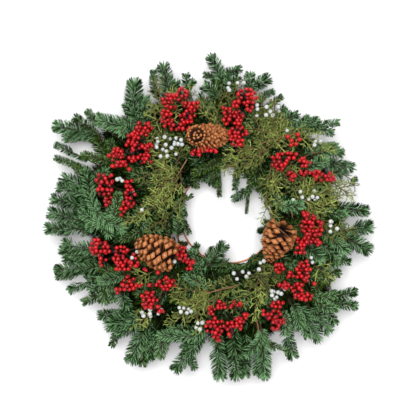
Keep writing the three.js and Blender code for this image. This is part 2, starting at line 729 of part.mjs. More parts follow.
buildRing();
cones.forEach(buildCone);
placeSprays();
cones.forEach(buildConeWire);
berryPicks.forEach(buildBerryPick);
juniperSprigs.forEach(buildJuniper);
pearlSprigs.forEach(buildPearlSprig);
sprays.forEach((spray, i) => growNeedles(spray, i * goldenAngle));

const wreath = new THREE.Group();
wreath.name = "fresh_evergreen_wreath";
nodes.forEach(({ solids, finish }, name) => wreath.add(meshOf(name, joined(solids), finish)));

const extent = new THREE.Box3().setFromObject(wreath);
const middle = extent.getCenter(new THREE.Vector3());
wreath.position.set(-middle.x, -middle.y, -extent.min.z);

export default wreath;
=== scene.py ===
import math

import bpy
import numpy as np
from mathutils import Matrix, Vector


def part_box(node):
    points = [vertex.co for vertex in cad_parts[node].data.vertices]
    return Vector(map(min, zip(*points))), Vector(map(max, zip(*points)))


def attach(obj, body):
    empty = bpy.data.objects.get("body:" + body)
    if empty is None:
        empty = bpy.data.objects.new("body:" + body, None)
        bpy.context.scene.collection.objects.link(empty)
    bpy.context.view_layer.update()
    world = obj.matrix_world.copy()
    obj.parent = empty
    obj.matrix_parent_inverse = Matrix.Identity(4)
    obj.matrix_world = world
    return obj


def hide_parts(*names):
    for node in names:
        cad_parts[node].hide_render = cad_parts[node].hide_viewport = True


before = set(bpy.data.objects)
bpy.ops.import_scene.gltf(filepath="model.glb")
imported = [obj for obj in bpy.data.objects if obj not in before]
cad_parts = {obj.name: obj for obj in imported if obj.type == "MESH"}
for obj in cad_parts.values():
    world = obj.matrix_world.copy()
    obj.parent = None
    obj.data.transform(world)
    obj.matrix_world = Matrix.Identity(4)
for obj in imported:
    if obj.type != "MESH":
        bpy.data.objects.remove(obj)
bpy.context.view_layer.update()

# Millimetres, counted from the middle of the wire ring. Angles turn anticlockwise from +X.
mm = 0.001
ringLow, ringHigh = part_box("clamp_ring")
hub = (ringLow + ringHigh) / 2 / mm
hub.z = 0
goldenAngle = math.pi * (3 - math.sqrt(5))

# How far the greens stay above the floor, and over what height they bend up from it.
floorGap = {"least": 1.0, "soft": 8.0}

# The wire ring. The arch of a clamp is given up to its top, as places across it and heights.
ring = {
    "innerRail": 90,
    "outerRail": 104,
    "wire": 1.5,
    "railSteps": 96,
    "railSides": 12,
    "clamps": 16,
    "firstClamp": 11.25,
    "clampHalfWidth": 7,
    "clampArch": [(-1, 1.5), (-0.98, 7), (-0.85, 12.6), (-0.5, 16.4), (0, 17.5)],
    "clampWire": 1.1,
}
clampStep = 360 / ring["clamps"]


def linear(red, green, blue):
    scaled = [value / 255 for value in (red, green, blue)]
    curve = [v / 12.92 if v <= 0.04045 else ((v + 0.055) / 1.055) ** 2.4 for v in scaled]
    return (*curve, 1)


def polar(angle, reach, height):
    turn = math.radians(angle)
    return np.array([reach * math.cos(turn), reach * math.sin(turn), height])


def unit(vectors):
    return vectors / np.maximum(np.linalg.norm(vectors, axis=-1, keepdims=True), 1e-9)


# A smooth line through some points, with evenly spread samples.
def smoothLine(points, count=24):
    points = np.array(points, float)
    padded = np.vstack([2 * points[0] - points[1], points, 2 * points[-1] - points[-2]])
    fine = []
    steps = 16
    for i in range(len(points) - 1):
        a, b, c, d = padded[i:i + 4]
        for t in np.arange(steps) / steps:
            fine.append(0.5 * (2 * b + (c - a) * t + (2 * a - 5 * b + 4 * c - d) * t * t
                               + (3 * b - a - 3 * c + d) * t ** 3))
    fine.append(points[-1])
    fine = np.array(fine)
    run = np.concatenate([[0], np.cumsum(np.linalg.norm(np.diff(fine, axis=0), axis=1))])
    at = np.linspace(0, run[-1], count)
    return np.stack([np.interp(at, run, fine[:, k]) for k in range(3)], axis=1)


def lineLength(line):
    return float(np.linalg.norm(np.diff(line, axis=0), axis=1).sum())


# The directions along, beside and above each point of a line.
def axesAlong(line):
    steep = 0.97
    along = unit(np.gradient(line, axis=0))
    up = np.tile([0.0, 0.0, 1.0], (len(line), 1))
    up[np.abs(along[:, 2]) > steep] = [0.0, 1.0, 0.0]
    side = unit(np.cross(along, up))
    return along, side, np.cross(side, along)


def sampled(line, values, shares):
    at = np.linspace(0, 1, len(line))
    return np.stack([np.interp(shares, at, values[:, k]) for k in range(3)], axis=1)


# The faces between rims of corners that follow each other. A closed band joins its last rim to its first.
def bandFaces(rims, sides, first=0, closed=False):
    faces = []
    for j in range(rims if closed else rims - 1):
        here, there = first + j * sides, first + (j + 1) % rims * sides
        for k in range(sides):
            n = (k + 1) % sides
            faces.append([here + k, here + n, there + n, there + k])
    return faces


# The triangles from a rim to one corner past it, the one way round or, with a step of -1, the other. A face
# whose last two corners are the same is a triangle.
def capFaces(rim, sides, end, step=1):
    return [[rim + k, rim + (k + step) % sides, end, end] for k in range(sides)]


def repeatedFaces(faces, count, corners):
    offsets = (np.arange(count) * corners)[:, None, None]
    return (faces[None] + offsets).reshape(-1, faces.shape[1])


# Meshes are gathered as chunks: corners, faces, a tone for each corner and a material's place.
def tubeChunk(line, radii, sides, material, tone=(0, 0, 0.5, 0.5)):
    bulges = (0.4, 0.8)  # how far its first and last ends stand out, in radii
    along, side, above = axesAlong(line)
    turns = np.arange(sides) * 2 * math.pi / sides
    radii = np.broadcast_to(radii, (len(line),))
    spokes = (np.cos(turns)[None, :, None] * side[:, None, :]
              + np.sin(turns)[None, :, None] * above[:, None, :])
    rims = line[:, None, :] + radii[:, None, None] * spokes
    ends = [line[0] - along[0] * radii[0] * bulges[0], line[-1] + along[-1] * radii[-1] * bulges[1]]
    corners = np.vstack([rims.reshape(-1, 3), *ends])
    start, end = len(corners) - 2, len(corners) - 1
    faces = bandFaces(len(line), sides) + capFaces(0, sides, start) + capFaces(start - sides, sides, end, -1)
    tones = np.tile(np.array(tone, float), (len(corners), 1))
    tones[:start, 0] = np.repeat(np.linspace(0, 1, len(line)), sides)
    tones[start:, 0] = [0, 1]
    return corners, np.array(faces), tones, material


# A tube along a smooth line through some points.
def rodChunk(points, steps, radii, sides, material):
    return tubeChunk(smoothLine(points, steps), radii, sides, material)


def copiesChunk(template, faces, frames, scales, origins, tones, material):
    corners = np.einsum("vk,nkj->nvj", template, frames * scales[:, :, None]) + origins[:, None, :]
    return (corners.reshape(-1, 3), repeatedFaces(faces, len(origins), len(template)),
            tones.reshape(-1, 4), material)


# Bends what would go through the floor up to just above it.
def liftedClear(heights):
    least, soft = floorGap["least"], floorGap["soft"]
    bent = least + soft * np.exp(np.minimum(heights - least - soft, 0) / soft)
    return np.where(heights < least + soft, bent, heights)


# Joins chunks into one object.
def pieceFrom(name, chunks, materials, node=None, lifted=True):
    corners, loops, totals, tones, places = [], [], [], [], []
    start = 0
    for chunkCorners, faces, chunkTones, material in chunks:
        corners.append(chunkCorners)
        if chunkTones.shape[1] == 4:
            chunkTones = np.hstack([chunkTones, np.zeros((len(chunkTones), 1))])
        tones.append(chunkTones)
        keep = np.ones(faces.shape, bool)
        keep[:, 3] = faces[:, 3] != faces[:, 2]
        loops.append((faces + start)[keep])
        totals.append(keep.sum(axis=1))
        places.append(np.full(len(faces), material))
        start += len(chunkCorners)
    corners, tones = np.vstack(corners), np.vstack(tones)
    if lifted:
        corners[:, 2] = liftedClear(corners[:, 2])
    corners = (corners + np.array(hub)) * mm
    loops, totals = np.concatenate(loops), np.concatenate(totals)
    starts = np.concatenate([[0], np.cumsum(totals)[:-1]])
    mesh = bpy.data.meshes.new(name)
    mesh.vertices.add(len(corners))
    mesh.vertices.foreach_set("co", corners.ravel().astype(np.float32))
    mesh.loops.add(len(loops))
    mesh.loops.foreach_set("vertex_index", loops.astype(np.int32))
    mesh.polygons.add(len(totals))
    mesh.polygons.foreach_set("loop_start", starts.astype(np.int32))
    mesh.polygons.foreach_set("material_index", np.concatenate(places).astype(np.int32))
    mesh.update(calc_edges=True)
    mesh.validate()
    mesh.shade_smooth()
    tone = mesh.attributes.new("tone", "FLOAT_COLOR", "POINT")
    tone.data.foreach_set("color", tones[:, :4].astype(np.float32).ravel())
    hue = mesh.attributes.new("hue", "FLOAT", "POINT")
    hue.data.foreach_set("value", tones[:, 4].astype(np.float32))
    for material in materials:
        mesh.materials.append(material)
    piece = bpy.data.objects.new(name, mesh)
    bpy.context.scene.collection.objects.link(piece)
    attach(piece, "root")
    if node:
        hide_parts(node)


def addNode(tree, kind, values=None, **settings):
    node = tree.nodes.new(kind)
    for key, value in settings.items():
        setattr(node, key, value)
    for key, value in (values or {}).items():
        if isinstance(value, bpy.types.NodeSocket):
            tree.links.new(value, node.inputs[key])
        else:
            node.inputs[key].default_value = value
    return node


def mixColour(tree, factor, first, second):
    node = addNode(tree, "ShaderNodeMix", data_type="RGBA")
    for place, value in ((0, factor), (6, first), (7, second)):  # the factor's and the two colours' sockets
        if isinstance(value, bpy.types.NodeSocket):
            tree.links.new(value, node.inputs[place])
        else:
            node.inputs[place].default_value = value
    return node.outputs[2]


def mapped(tree, value, low, high, toLow=0.0, toHigh=1.0):
    node = addNode(tree, "ShaderNodeMapRange", {"Value": value, "From Min": low, "From Max": high,
                                                 "To Min": toLow, "To Max": toHigh})
    return node.outputs["Result"]


# A patchy value and a fine grain that the materials share.
def buildPatchGroup():
    details = {"Patch": 3.0, "Grain": 2.0}
    group = bpy.data.node_groups.new("plantPatches", "ShaderNodeTree")
    for name in details:
        group.interface.new_socket(f"{name} Scale", in_out="INPUT", socket_type="NodeSocketFloat")
    for name in details:
        group.interface.new_socket(name, in_out="OUTPUT", socket_type="NodeSocketFloat")
    inputs = group.nodes.new("NodeGroupInput")
    outputs = group.nodes.new("NodeGroupOutput")
    place = group.nodes.new("ShaderNodeTexCoord")
    for name, detail in details.items():
        noise = addNode(group, "ShaderNodeTexNoise", {
            "Vector": place.outputs["Object"], "Scale": inputs.outputs[f"{name} Scale"], "Detail": detail})
        group.links.new(mapped(group, noise.outputs["Fac"], 0.3, 0.7), outputs.inputs[name])
    return group


patchGroup = buildPatchGroup()


# A new material's tree, its shader and the masks that its colours can follow.
def newMaterial(name, look):
    material = bpy.data.materials.new(name)
    material.use_nodes = True
    tree = material.node_tree
    tree.nodes.clear()
    shader = tree.nodes.new("ShaderNodeBsdfPrincipled")
    output = tree.nodes.new("ShaderNodeOutputMaterial")
    tree.links.new(shader.outputs["BSDF"], output.inputs["Surface"])
    for key, value in look["shader"].items():
        shader.inputs[key].default_value = value
    patchScale, grainScale = look["scales"]
    patches = addNode(tree, "ShaderNodeGroup", node_tree=patchGroup)
    patches.inputs["Patch Scale"].default_value = patchScale
    patches.inputs["Grain Scale"].default_value = grainScale
    masks = {"patch": patches.outputs["Patch"], "grain": patches.outputs["Grain"]}
    if look.get("toned"):
        tone = addNode(tree, "ShaderNodeAttribute", attribute_name="tone")
        parts = addNode(tree, "ShaderNodeSeparateColor", {"Color": tone.outputs["Color"]})
        masks.update(along=parts.outputs["Red"], across=parts.outputs["Green"], chance=parts.outputs["Blue"],
                     own=tone.outputs["Alpha"])
    return material, tree, shader, masks


# Lays colours over each other: each follows a mask, between two of its values, from one strength to another.
def layered(tree, look, masks, body):
    for mask, low, high, toLow, toHigh, colour in look["layers"]:
        body = mixColour(tree, mapped(tree, masks[mask], low, high, toLow, toHigh), body, linear(*colour))
    return body


# Gives the shader its colour, its roughness and its bump.
def finished(tree, shader, look, masks, body):
    tree.links.new(body, shader.inputs["Base Color"])
    mask, *span = look["roughness"]
    tree.links.new(mapped(tree, masks[mask], *span), shader.inputs["Roughness"])
    strength, distance = look["bump"]
    bump = addNode(tree, "ShaderNodeBump", {"Height": masks["grain"], "Strength": strength,
                                            "Distance": distance})
    tree.links.new(bump.outputs["Normal"], shader.inputs["Normal"])


def layeredMaterial(name, look):
    material, tree, shader, masks = newMaterial(name, look)
    finished(tree, shader, look, masks, layered(tree, look, masks, linear(*look["start"])))
    return material


needleLook = {
    "deep": (4, 11, 1),
    "green": (28, 79, 12),
    "glaucous": (112, 176, 101),
    "band": (190, 226, 180),
    "mossDark": (18, 38, 4),
    "mossLight": (92, 124, 34),
    "chanceShare": 1.75,
    "scales": (22.0, 900.0),
    "toned": True,
    "shader": {"Specular IOR Level": 0.08},
    "roughness": ("grain", 0.0, 1.0, 0.42, 0.62),
    "bump": (0.15, 0.0003),
}
needleLook["layers"] = [
    ("paler", 0.0, 1.0, 0.0, 1.0, needleLook["band"]),
    # Darkest at the root: partly the needle's own colour, partly painted shade by the twig.
    ("along", 0.0, 0.75, 1.0, 0.0, needleLook["deep"]),
    ("patch", 0.0, 1.0, 0.0, 0.3, needleLook["deep"]),
]


# A needle is paler by chance, with its finger and with painted light where it faces up, has a pale band, and
# is darkest where it grows out: partly its own colour there, partly painted shade.
def needleMaterial():
    names = ("deep", "green", "glaucous", "mossDark", "mossLight")
    deep, green, glaucous, mossDark, mossLight = [linear(*needleLook[name]) for name in names]
    material, tree, shader, masks = newMaterial("firNeedle", needleLook)
    hue = addNode(tree, "ShaderNodeAttribute", attribute_name="hue").outputs["Fac"]
    terms = {0: masks["chance"], 1: needleLook["chanceShare"], 2: masks["own"]}
    light = addNode(tree, "ShaderNodeMath", terms, operation="MULTIPLY_ADD").outputs[0]
    body = mixColour(tree, mapped(tree, light, 0.68, 1.45), deep, green)
    body = mixColour(tree, mapped(tree, light, 1.4, 2.15), body, glaucous)
    moss = mixColour(tree, mapped(tree, light, 0.1, 1.2), mossDark, mossLight)
    body = mixColour(tree, hue, body, moss)
    band = mapped(tree, masks["across"], 0.15, 0.6, 1.0, 0.0)
    masks["paler"] = addNode(tree, "ShaderNodeMath", {0: band, 1: mapped(tree, light, 1.2, 2.2)},
                             operation="MULTIPLY").outputs[0]
    finished(tree, shader, needleLook, masks, layered(tree, needleLook, masks, body))
    return material


def barkMaterial(name, dark, light):
    return layeredMaterial(name, {
        "start": dark,
        "layers": [("patch", 0.0, 1.0, 0.0, 1.0, light), ("grain", 0.0, 1.0, 0.0, 0.5, dark)],
        "scales": (60.0, 700.0),
        "shader": {"Specular IOR Level": 0.3},
        "roughness": ("grain", 0.0, 1.0, 0.65, 0.9),
        "bump": (0.5, 0.0006),
    })


# Olive leaves, brighter at their tips and by chance, some brown, and duller in the sprigs that lie deeper.
juniperShade, juniperBright = (44, 52, 18), (208, 226, 122)
juniperLook = {
    "start": juniperShade,
    "layers": [
        ("patch", 0.0, 1.0, 0.0, 1.0, (134, 152, 64)),
        ("chance", 0.5, 0.0, 0.0, 0.9, juniperBright),
        ("along", 0.2, 1.0, 0.0, 0.4, juniperBright),
        ("chance", 0.7, 1.0, 0.0, 0.8, (128, 108, 62)),
        ("own", 0.0, 1.0, 0.7, 0.0, juniperShade),
    ],
    "scales": (30.0, 620.0),
    "toned": True,
    "shader": {"Specular IOR Level": 0.3},
    "roughness": ("grain", 0.0, 1.0, 0.55, 0.75),
    "bump": (0.6, 0.0006),
}

# A glossy red skin, riper by chance, with a dark pip at its end.
ripeRed = (126, 2, 12)
redLook = {
    "start": (210, 8, 24),
    "layers": [
        ("chance", 0.0, 1.0, 0.0, 0.8, ripeRed),
        ("patch", 0.0, 1.0, 0.0, 0.25, ripeRed),
        ("along", 0.955, 0.985, 0.0, 1.0, (24, 14, 12)),
    ],
    "scales": (180.0, 1400.0),
    "toned": True,
    "shader": {"Specular IOR Level": 0.4, "Coat Weight": 0.22, "Coat Roughness": 0.3},
    "roughness": ("along", 0.9, 0.98, 0.3, 0.8),
    "bump": (0.05, 0.0002),
}

# A waxy white skin with grey patches and a grey-brown pip.
waxShade = (160, 168, 168)
whiteLook = {
    "start": (208, 211, 208),
    "layers": [
        ("patch", 0.3, 1.0, 0.0, 0.5, waxShade),
        ("chance", 0.5, 1.0, 0.0, 0.3, waxShade),
        ("along", 0.95, 0.98, 0.0, 1.0, (62, 60, 54)),
    ],
    "scales": (220.0, 1500.0),
    "toned": True,
    "shader": {"Specular IOR Level": 0.4, "Subsurface Weight": 0.15, "Subsurface Radius": (0.002,) * 3},
    "roughness": ("grain", 0.0, 1.0, 0.38, 0.55),
    "bump": (0.08, 0.0002),
}

# Brown scales, dark inside the cone, some warmer, with a pale umbo in the middle of each lip.
coneInside = (38, 22, 14)
coneLook = {
    "start": coneInside,
    "layers": [
        ("along", 0.45, 0.9, 0.0, 1.0, (172, 102, 58)),
        ("chance", 0.2, 1.0, 0.0, 0.6, (226, 150, 92)),
        ("patch", 0.0, 1.0, 0.0, 0.35, coneInside),
        ("own", 0.3, 1.0, 0.0, 0.8, (214, 184, 148)),
    ],
    "scales": (90.0, 900.0),
    "toned": True,
    "shader": {"Specular IOR Level": 0.12},
    "roughness": ("grain", 0.0, 1.0, 0.6, 0.85),
    "bump": (0.4, 0.0006),
}

copperLook = {
    "start": (226, 150, 104),
    "layers": [("patch", 0.0, 1.0, 0.0, 1.0, (156, 94, 60)), ("grain", 0.5, 1.0, 0.0, 0.5, (84, 50, 34))],
    "scales": (70.0, 800.0),
    "shader": {"Metallic": 0.85},
    "roughness": ("grain", 0.0, 1.0, 0.3, 0.55),
    "bump": (0.1, 0.0002),
}

needle = needleMaterial()
wood = barkMaterial("firWood", (40, 34, 16), (86, 70, 38))
darkStem = barkMaterial("berryStem", (24, 18, 12), (58, 44, 26))
twigBark = barkMaterial("twigBark", (96, 70, 44), (170, 128, 90))
juniperWood = barkMaterial("juniperWood", (72, 58, 34), (128, 104, 62))
juniperLeaf = layeredMaterial("juniperLeaf", juniperLook)
redSkin = layeredMaterial("redBerrySkin", redLook)
whiteSkin = layeredMaterial("whiteBerrySkin", whiteLook)
coneScale = layeredMaterial("coneScale", coneLook)
copper = layeredMaterial("copperWire", copperLook)
print("materials made")

fir = {
    "outward": {"butt": 93, "held": 110},
    "inward": {"butt": 113, "held": 97},
    "bundleRows": [3, 2, 1, 1],
    "bundlePitch": 2.4,
    "bundleRise": 2.1,
    "bundleFloor": 5.6,
    "wood": (1.6, 0.8),
    "pastTip": 0.69,
    "rootDrop": 6.0,
    "bareRoot": 12,
}

# Needles: how many there are, where they point and their size. The values that start with top are for those
# that stand up on a finger, and the ones that start with tip for those round its end.
needles = {
    "width": 1.45,
    "thickness": 0.9,
    "perMm": 3.0,
    "fewest": 12,
    "usualLength": 14,
    "evenCount": 0.7,
    "longMore": 0.3,
    "lastShare": 0.995,
    "tipShare": 0.997,
    "bend": 0.24,
    "lean": 60,
    "leanSpread": 5,
    "leanLess": 12,
    "twist": 0.12,
    "under": 0.4,
    "flat": 0.55,
    "topShare": 0.1,
    "topRise": 0.8,
    "topAcross": 0.8,
    "topSize": 0.8,
    # How much paler a needle is painted as it faces up, and darker as it faces sideways or down: painted
    # light and shade.
    "paintedTopLight": 0.8,
    "sizes": (0.85, 1.08),
    "widths": (0.85, 1.15),
    "rootShorter": 0.2,
    "tipShorter": 0.14,
    "tipDarker": 0.2,
    "tipNeedles": 34,
    "tipMost": 2.2,
    "tipReach": 0.4,
    "tipSpread": 70,
    "tipSizes": (0.78, 0.9),
    "faceTilt": 0.3,
    "facingLeast": 0.3,
}

# Each finger of fir: its tip x, y, its root x, y, its height, the length of its needles, its paleness and how
# yellow it is.
firFingers = [
    [-327, 166, -254, 148, 40, 20, 0.75, 0], [-309, 141, -258, 143, 34, 14, 0.8, 0],
    [-287, 183, -251, 154, 48, 14, 0.3, 0.2], [-262, 194, -243, 170, 50, 12, 0.7, 0.3],
    [-249, 178, -185, 156, 54, 21, 0.95, 0], [-201, 139, -185, 170, 58, 17, 0.95, 0],
    [-323, 131, -269, 106, 40, 11, 0.35, 0.1], [-273, 113, -214, 95, 44, 12, 0.3, 0.9],
    [-324, 107, -269, 86, 36, 10, 0.45, 0.5], [-287, 95, -264, 68, 34, 11, 0.2, 0.9],
    [-253, 150, -214, 101, 30, 20, -0.1, 0.8], [-221, 143, -203, 92, 40, 14, 0.25, 0.6],
    [-313, 70, -245, 46, 40, 18, 0.6, 0], [-320, 53, -254, 37, 46, 17, 0.65, 0],
    [-332, 31, -258, 18, 38, 17, 0.5, 0], [-265, 90, -243, 18, 54, 16, 0.8, 0],
    [-218, 90, -242, 60, 46, 15, 0.65, 0], [-256, 42, -232, -13, 58, 14, 1, 0],
    [-201, 46, -205, -16, 66, 14, 0.7, 0.5], [-337, 6, -258, -13, 42, 20, 0.55, 0],
    [-342, -24, -254, -26, 48, 18, 0.6, 0], [-278, 7, -225, -16, 62, 16, 1, 0],
    [-262, -27, -214, -5, 60, 15, 0.9, 0], [-185, -33, -240, 5, 64, 20, 0.95, 0],
    [-214, -46, -227, -13, 58, 17, 0.8, 0], [-221, 18, -196, -18, 58, 14, 0.8, 0],
    [-311, -51, -240, -64, 42, 19, 0.7, 0], [-316, -63, -254, -79, 38, 13, 0.6, 0.1],
    [-309, -80, -227, -88, 34, 12, 0.35, 0.1], [-323, -100, -227, -95, 46, 15, 0.5, 0.1],
    [-323, -114, -254, -106, 36, 11, 0.4, 0.2], [-242, -95, -190, -108, 52, 12, 0.35, 0.9],
    [-299, -141, -242, -115, 40, 14, 0.55, 0], [-260, -141, -227, -124, 44, 14, 0.45, 0],
    [-245, -121, -203, -113, 58, 15, 0.95, 0], [-274, -163, -227, -143, 38, 12, 0.5, 0.3],
    [-232, -167, -221, -128, 42, 16, 0.5, 0.4], [-212, -163, -214, -123, 46, 12, 0.55, 0.3],
    [-245, -185, -190, -178, 40, 15, 0.4, 0.1], [-231, -202, -172, -188, 46, 23, 0.55, 0],
    [-214, -218, -167, -196, 44, 20, 0.6, 0], [-218, -245, -200, -210, 36, 11, 0.3, 0.1],
    [-184, -276, -157, -216, 42, 21, 0.5, 0], [-161, -281, -150, -225, 38, 16, 0.45, 0.2],
    [-185, -178, -192, -141, 54, 18, 0.55, 0], [-141, -247, -145, -196, 34, 18, 0.3, 0],
    [-147, -271, -140, -222, 38, 15, 0.5, 0], [-135, -220, -53, -216, 62, 16, 0.95, 0],
    [-117, -205, -53, -207, 56, 13, 0.5, 0], [-130, -267, -117, -220, 44, 17, 0.85, 0.4],
    [-104, -290, -53, -225, 48, 18, 0.5, 0], [-90, -251, -53, -221, 44, 14, 0.6, 0],
    [-62, -288, -71, -243, 40, 11, 0.35, 0.1], [-15, -306, -22, -229, 50, 20, 0.6, 0],
    [15, -306, 9, -220, 46, 20, 0.45, 0.1], [29, -302, 31, -229, 40, 16, 0.5, 0],
    [26, -262, 60, -218, 60, 15, 1, 0], [51, -298, 53, -238, 38, 13, 0.55, 0],
    [65, -304, 60, -220, 50, 19, 0.7, 0], [119, -268, 101, -201, 48, 17, 0.45, 0],
    [110, -254, 60, -225, 54, 11, 0.7, 0.4], [106, -223, 104, -183, 62, 10, 1, 0],
    [130, -216, 123, -174, 44, 17, 0.75, 0], [170, -234, 135, -178, 46, 20, 0.8, 0],
    [148, -229, 126, -182, 44, 14, 0.6, 0], [187, -220, 157, -178, 50, 16, 0.75, 0],
    [198, -205, 176, -170, 42, 13, 0.6, 0], [203, -172, 163, -161, 58, 14, 0.9, 0.2],
    [201, -145, 163, -148, 60, 13, 0.8, 0.3], [239, -139, 194, -146, 44, 14, 0.55, 0],
    [239, -169, 188, -156, 40, 14, 0.5, 0], [152, -159, 163, -115, 52, 13, 0.15, 0.8],
    [194, -129, 152, -104, 50, 13, 0.15, 0.9], [207, -108, 163, -101, 46, 13, 0.35, 0.3],
    [227, -88, 194, -79, 40, 11, 0.5, 0], [203, -97, 176, -55, 50, 17, 0.65, 0.2],
    [221, -75, 181, -37, 54, 19, 0.75, 0], [176, -88, 145, -60, 58, 20, 0.8, 0],
    [264, -68, 212, -42, 46, 20, 0.5, 0], [269, -20, 212, -27, 40, 20, 0.6, 0],
    [260, 7, 194, 13, 46, 18, 0.35, 0], [221, 2, 178, 5, 54, 14, 0.75, 0], [236, 59, 194, 79, 42, 15, 0.6, 0],
    [234, 86, 170, 95, 48, 15, 0.45, 0], [214, 112, 163, 119, 46, 14, 0.5, 0],
    [199, 126, 152, 119, 52, 14, 0.7, 0], [195, 149, 152, 156, 56, 13, 0.8, 0],
    [205, 170, 130, 156, 60, 11, 0.7, 0], [167, 175, 126, 159, 62, 13, 0.75, 0],
    [150, 180, 115, 156, 62, 13, 0.8, 0.1], [130, 187, 102, 170, 58, 13, 0.7, 0],
    [112, 194, 97, 170, 42, 14, 0.5, 0], [119, 165, 97, 161, 56, 10, 0.9, 0],
    [185, 104, 145, 86, 62, 16, 1, 0], [205, 124, 160, 112, 58, 16, 0.9, 0],
    [104, 8, 84, 30, 66, 13, 0.9, 0.5], [185, 46, 152, 42, 56, 13, 0.75, 0],
    [141, 20, 99, 15, 68, 16, 1.05, 0], [126, 2, 102, 27, 62, 13, 0.7, 0],
    [-37, 297, -16, 251, 46, 17, 0.5, 0], [26, 271, -7, 254, 42, 12, 0.5, 0],
    [19, 258, 5, 232, 44, 12, 0.5, 0.1], [-4, 265, -2, 238, 46, 13, 0.5, 0],
    [40, 266, 35, 232, 48, 15, 0.55, 0], [79, 255, 38, 229, 44, 18, 0.5, 0],
    [85, 228, 60, 214, 46, 10, 0.35, 0], [101, 220, 75, 201, 42, 9, 0.4, 0],
    [106, 201, 86, 183, 42, 9, 0.5, 0.3], [-50, 260, -27, 247, 40, 10, 0.35, 0],
    [-51, 243, -26, 220, 44, 17, 0.6, 0], [-59, 223, -38, 196, 48, 15, 0.7, 0],
    [-18, 251, -24, 210, 40, 13, 0.2, 0.6], [-79, 264, -75, 225, 44, 12, 0.5, 0],
    [-62, 251, -73, 229, 42, 10, 0.5, 0], [-123, 282, -108, 220, 50, 19, 0.5, 0.1],
    [-97, 251, -97, 218, 44, 13, 0.6, 0], [-139, 269, -135, 225, 42, 11, 0.35, 0],
    [-174, 253, -170, 183, 52, 23, 0.6, 0], [-190, 210, -167, 170, 46, 18, 0.65, 0],
    [-157, 223, -152, 178, 50, 18, 0.65, 0], [-86, -110, -35, -128, 56, 13, 0.85, 0],
    [-70, -59, -44, -110, 44, 13, 0.75, 0], [-90, 31, -93, -46, 46, 15, 0.7, 0],
    [-117, -31, -163, -18, 52, 15, 0.6, 0],
]

# The same for those that reach in over the ring's hole or lie along its inner rail.
innerFingers = [
    [-17, 31, -20, 84, 24, 7, 0.3, 0.4], [-21, 47, -26, 88, 26, 13, 0.15, 0.6],
    [-31, 51, -38, 82, 24, 9, 0.45, 0], [-46, 57, -40, 88, 26, 9, 0.5, 0],
    [-58, 46, -64, 84, 28, 9, 0.35, 0.6], [-64, 38, -86, 27, 26, 7, 0.4, 0.2],
    [-71, 73, -26, 96, 40, 13, 0.35, 0.9], [11, 42, 15, 78, 22, 9, 0.45, 0], [4, 26, 36, 46, 26, 12, 0.5, 0],
    [32, 0, 37, 50, 30, 5, 0.35, 0.3], [38, 50, 62, 94, 34, 16, 0.05, 0.6],
    [55, 36, 80, 84, 32, 16, 0.1, 0.6], [72, 13, 88, 64, 34, 14, 0.15, 0.5],
    [51, -31, 66, -27, 26, 10, 0.35, 0], [60, -11, 76, -16, 30, 10, 0.4, 0],
    [46, -71, 48, -96, 28, 8, 0.25, 0.5], [31, -91, -22, -88, 30, 11, 0.35, 0.6],
    [-4, -48, -33, -88, 40, 18, 0.5, 0.1], [-71, -38, -87, -8, 26, 9, 0.3, 0.3],
    [-56, -50, -70, -78, 24, 10, 0.4, 0.2], [-28, -58, -48, -90, 28, 10, 0.4, 0.2],
    [-79, -6, -90, 22, 30, 9, 0.4, 0.1],
]

# See-through places between the greens, that no needle reaches into: x, y, half width and half depth.
glades = [
    [-108, 24, 7, 7], [-77, 46, 9, 8], [-70, 20, 4, 8], [-119, -17, 7, 9], [-100, -44, 9, 10],
    [20, -82, 18, 7], [-7, 111, 5, 4], [-65, 222, 5, 12], [210, 37, 7, 7], [216, 66, 7, 5], [227, -12, 8, 7],
    [-276, -120, 13, 4], [-284, -42, 13, 4], [-213, -167, 9, 3], [-35, -247, 4, 7], [93, -252, 9, 4],
    [95, -229, 4, 5], [170, -221, 3, 6], [190, -125, 6, 3], [-88, 68, 5, 3], [26, 55, 4, 5],
    [-234, 142, 4, 3], [-276, 122, 12, 5],
]


# A flat needle with a diamond for its section, widest at about a third, and pointed. It grows along z.
def needleTemplate():
    sections = [(0.0, 0.5), (0.38, 1.0), (0.8, 0.85)]
    diamond = [(1, 0, 1), (0, 1, 0), (-1, 0, 1), (0, -1, 0)]
    corners = [[side * width, above * width, at] for at, width in sections for side, above, _ in diamond]
    tones = [[at, across] for at, _ in sections for _, _, across in diamond]
    end = len(corners)
    corners.append([0, 0, 1])
    tones.append([1, 0.5])
    faces = bandFaces(len(sections), 4) + capFaces(end - 4, 4, end)
    return np.array(corners, float), np.array(faces), np.array(tones, float)


# A plainer needle for what lies deep in the greens: three-sided, with one section between its ends.
def plainNeedleTemplate():
    turns = np.arange(3) * 2 * math.pi / 3
    rims = [(0, 0.5), (0.5, 1)]
    corners = [[width * math.cos(turn), width * math.sin(turn), at] for at, width in rims for turn in turns]
    tones = [[0, 1]] * 3 + [[0.5, 1]] * 3 + [[1, 1]]
    faces = bandFaces(2, 3) + capFaces(3, 3, 6)
    return np.array(corners + [[0, 0, 1]], float), np.array(faces), np.array(tones, float)


needleForms = {"fine": needleTemplate(), "plain": plainNeedleTemplate()}


def inGlades(places):
    inside = np.zeros(len(places), bool)
    for x, y, halfWidth, halfDepth in glades:
        inside |= ((places[:, 0] - x) / halfWidth) ** 2 + ((places[:, 1] - y) / halfDepth) ** 2 < 1
    return inside


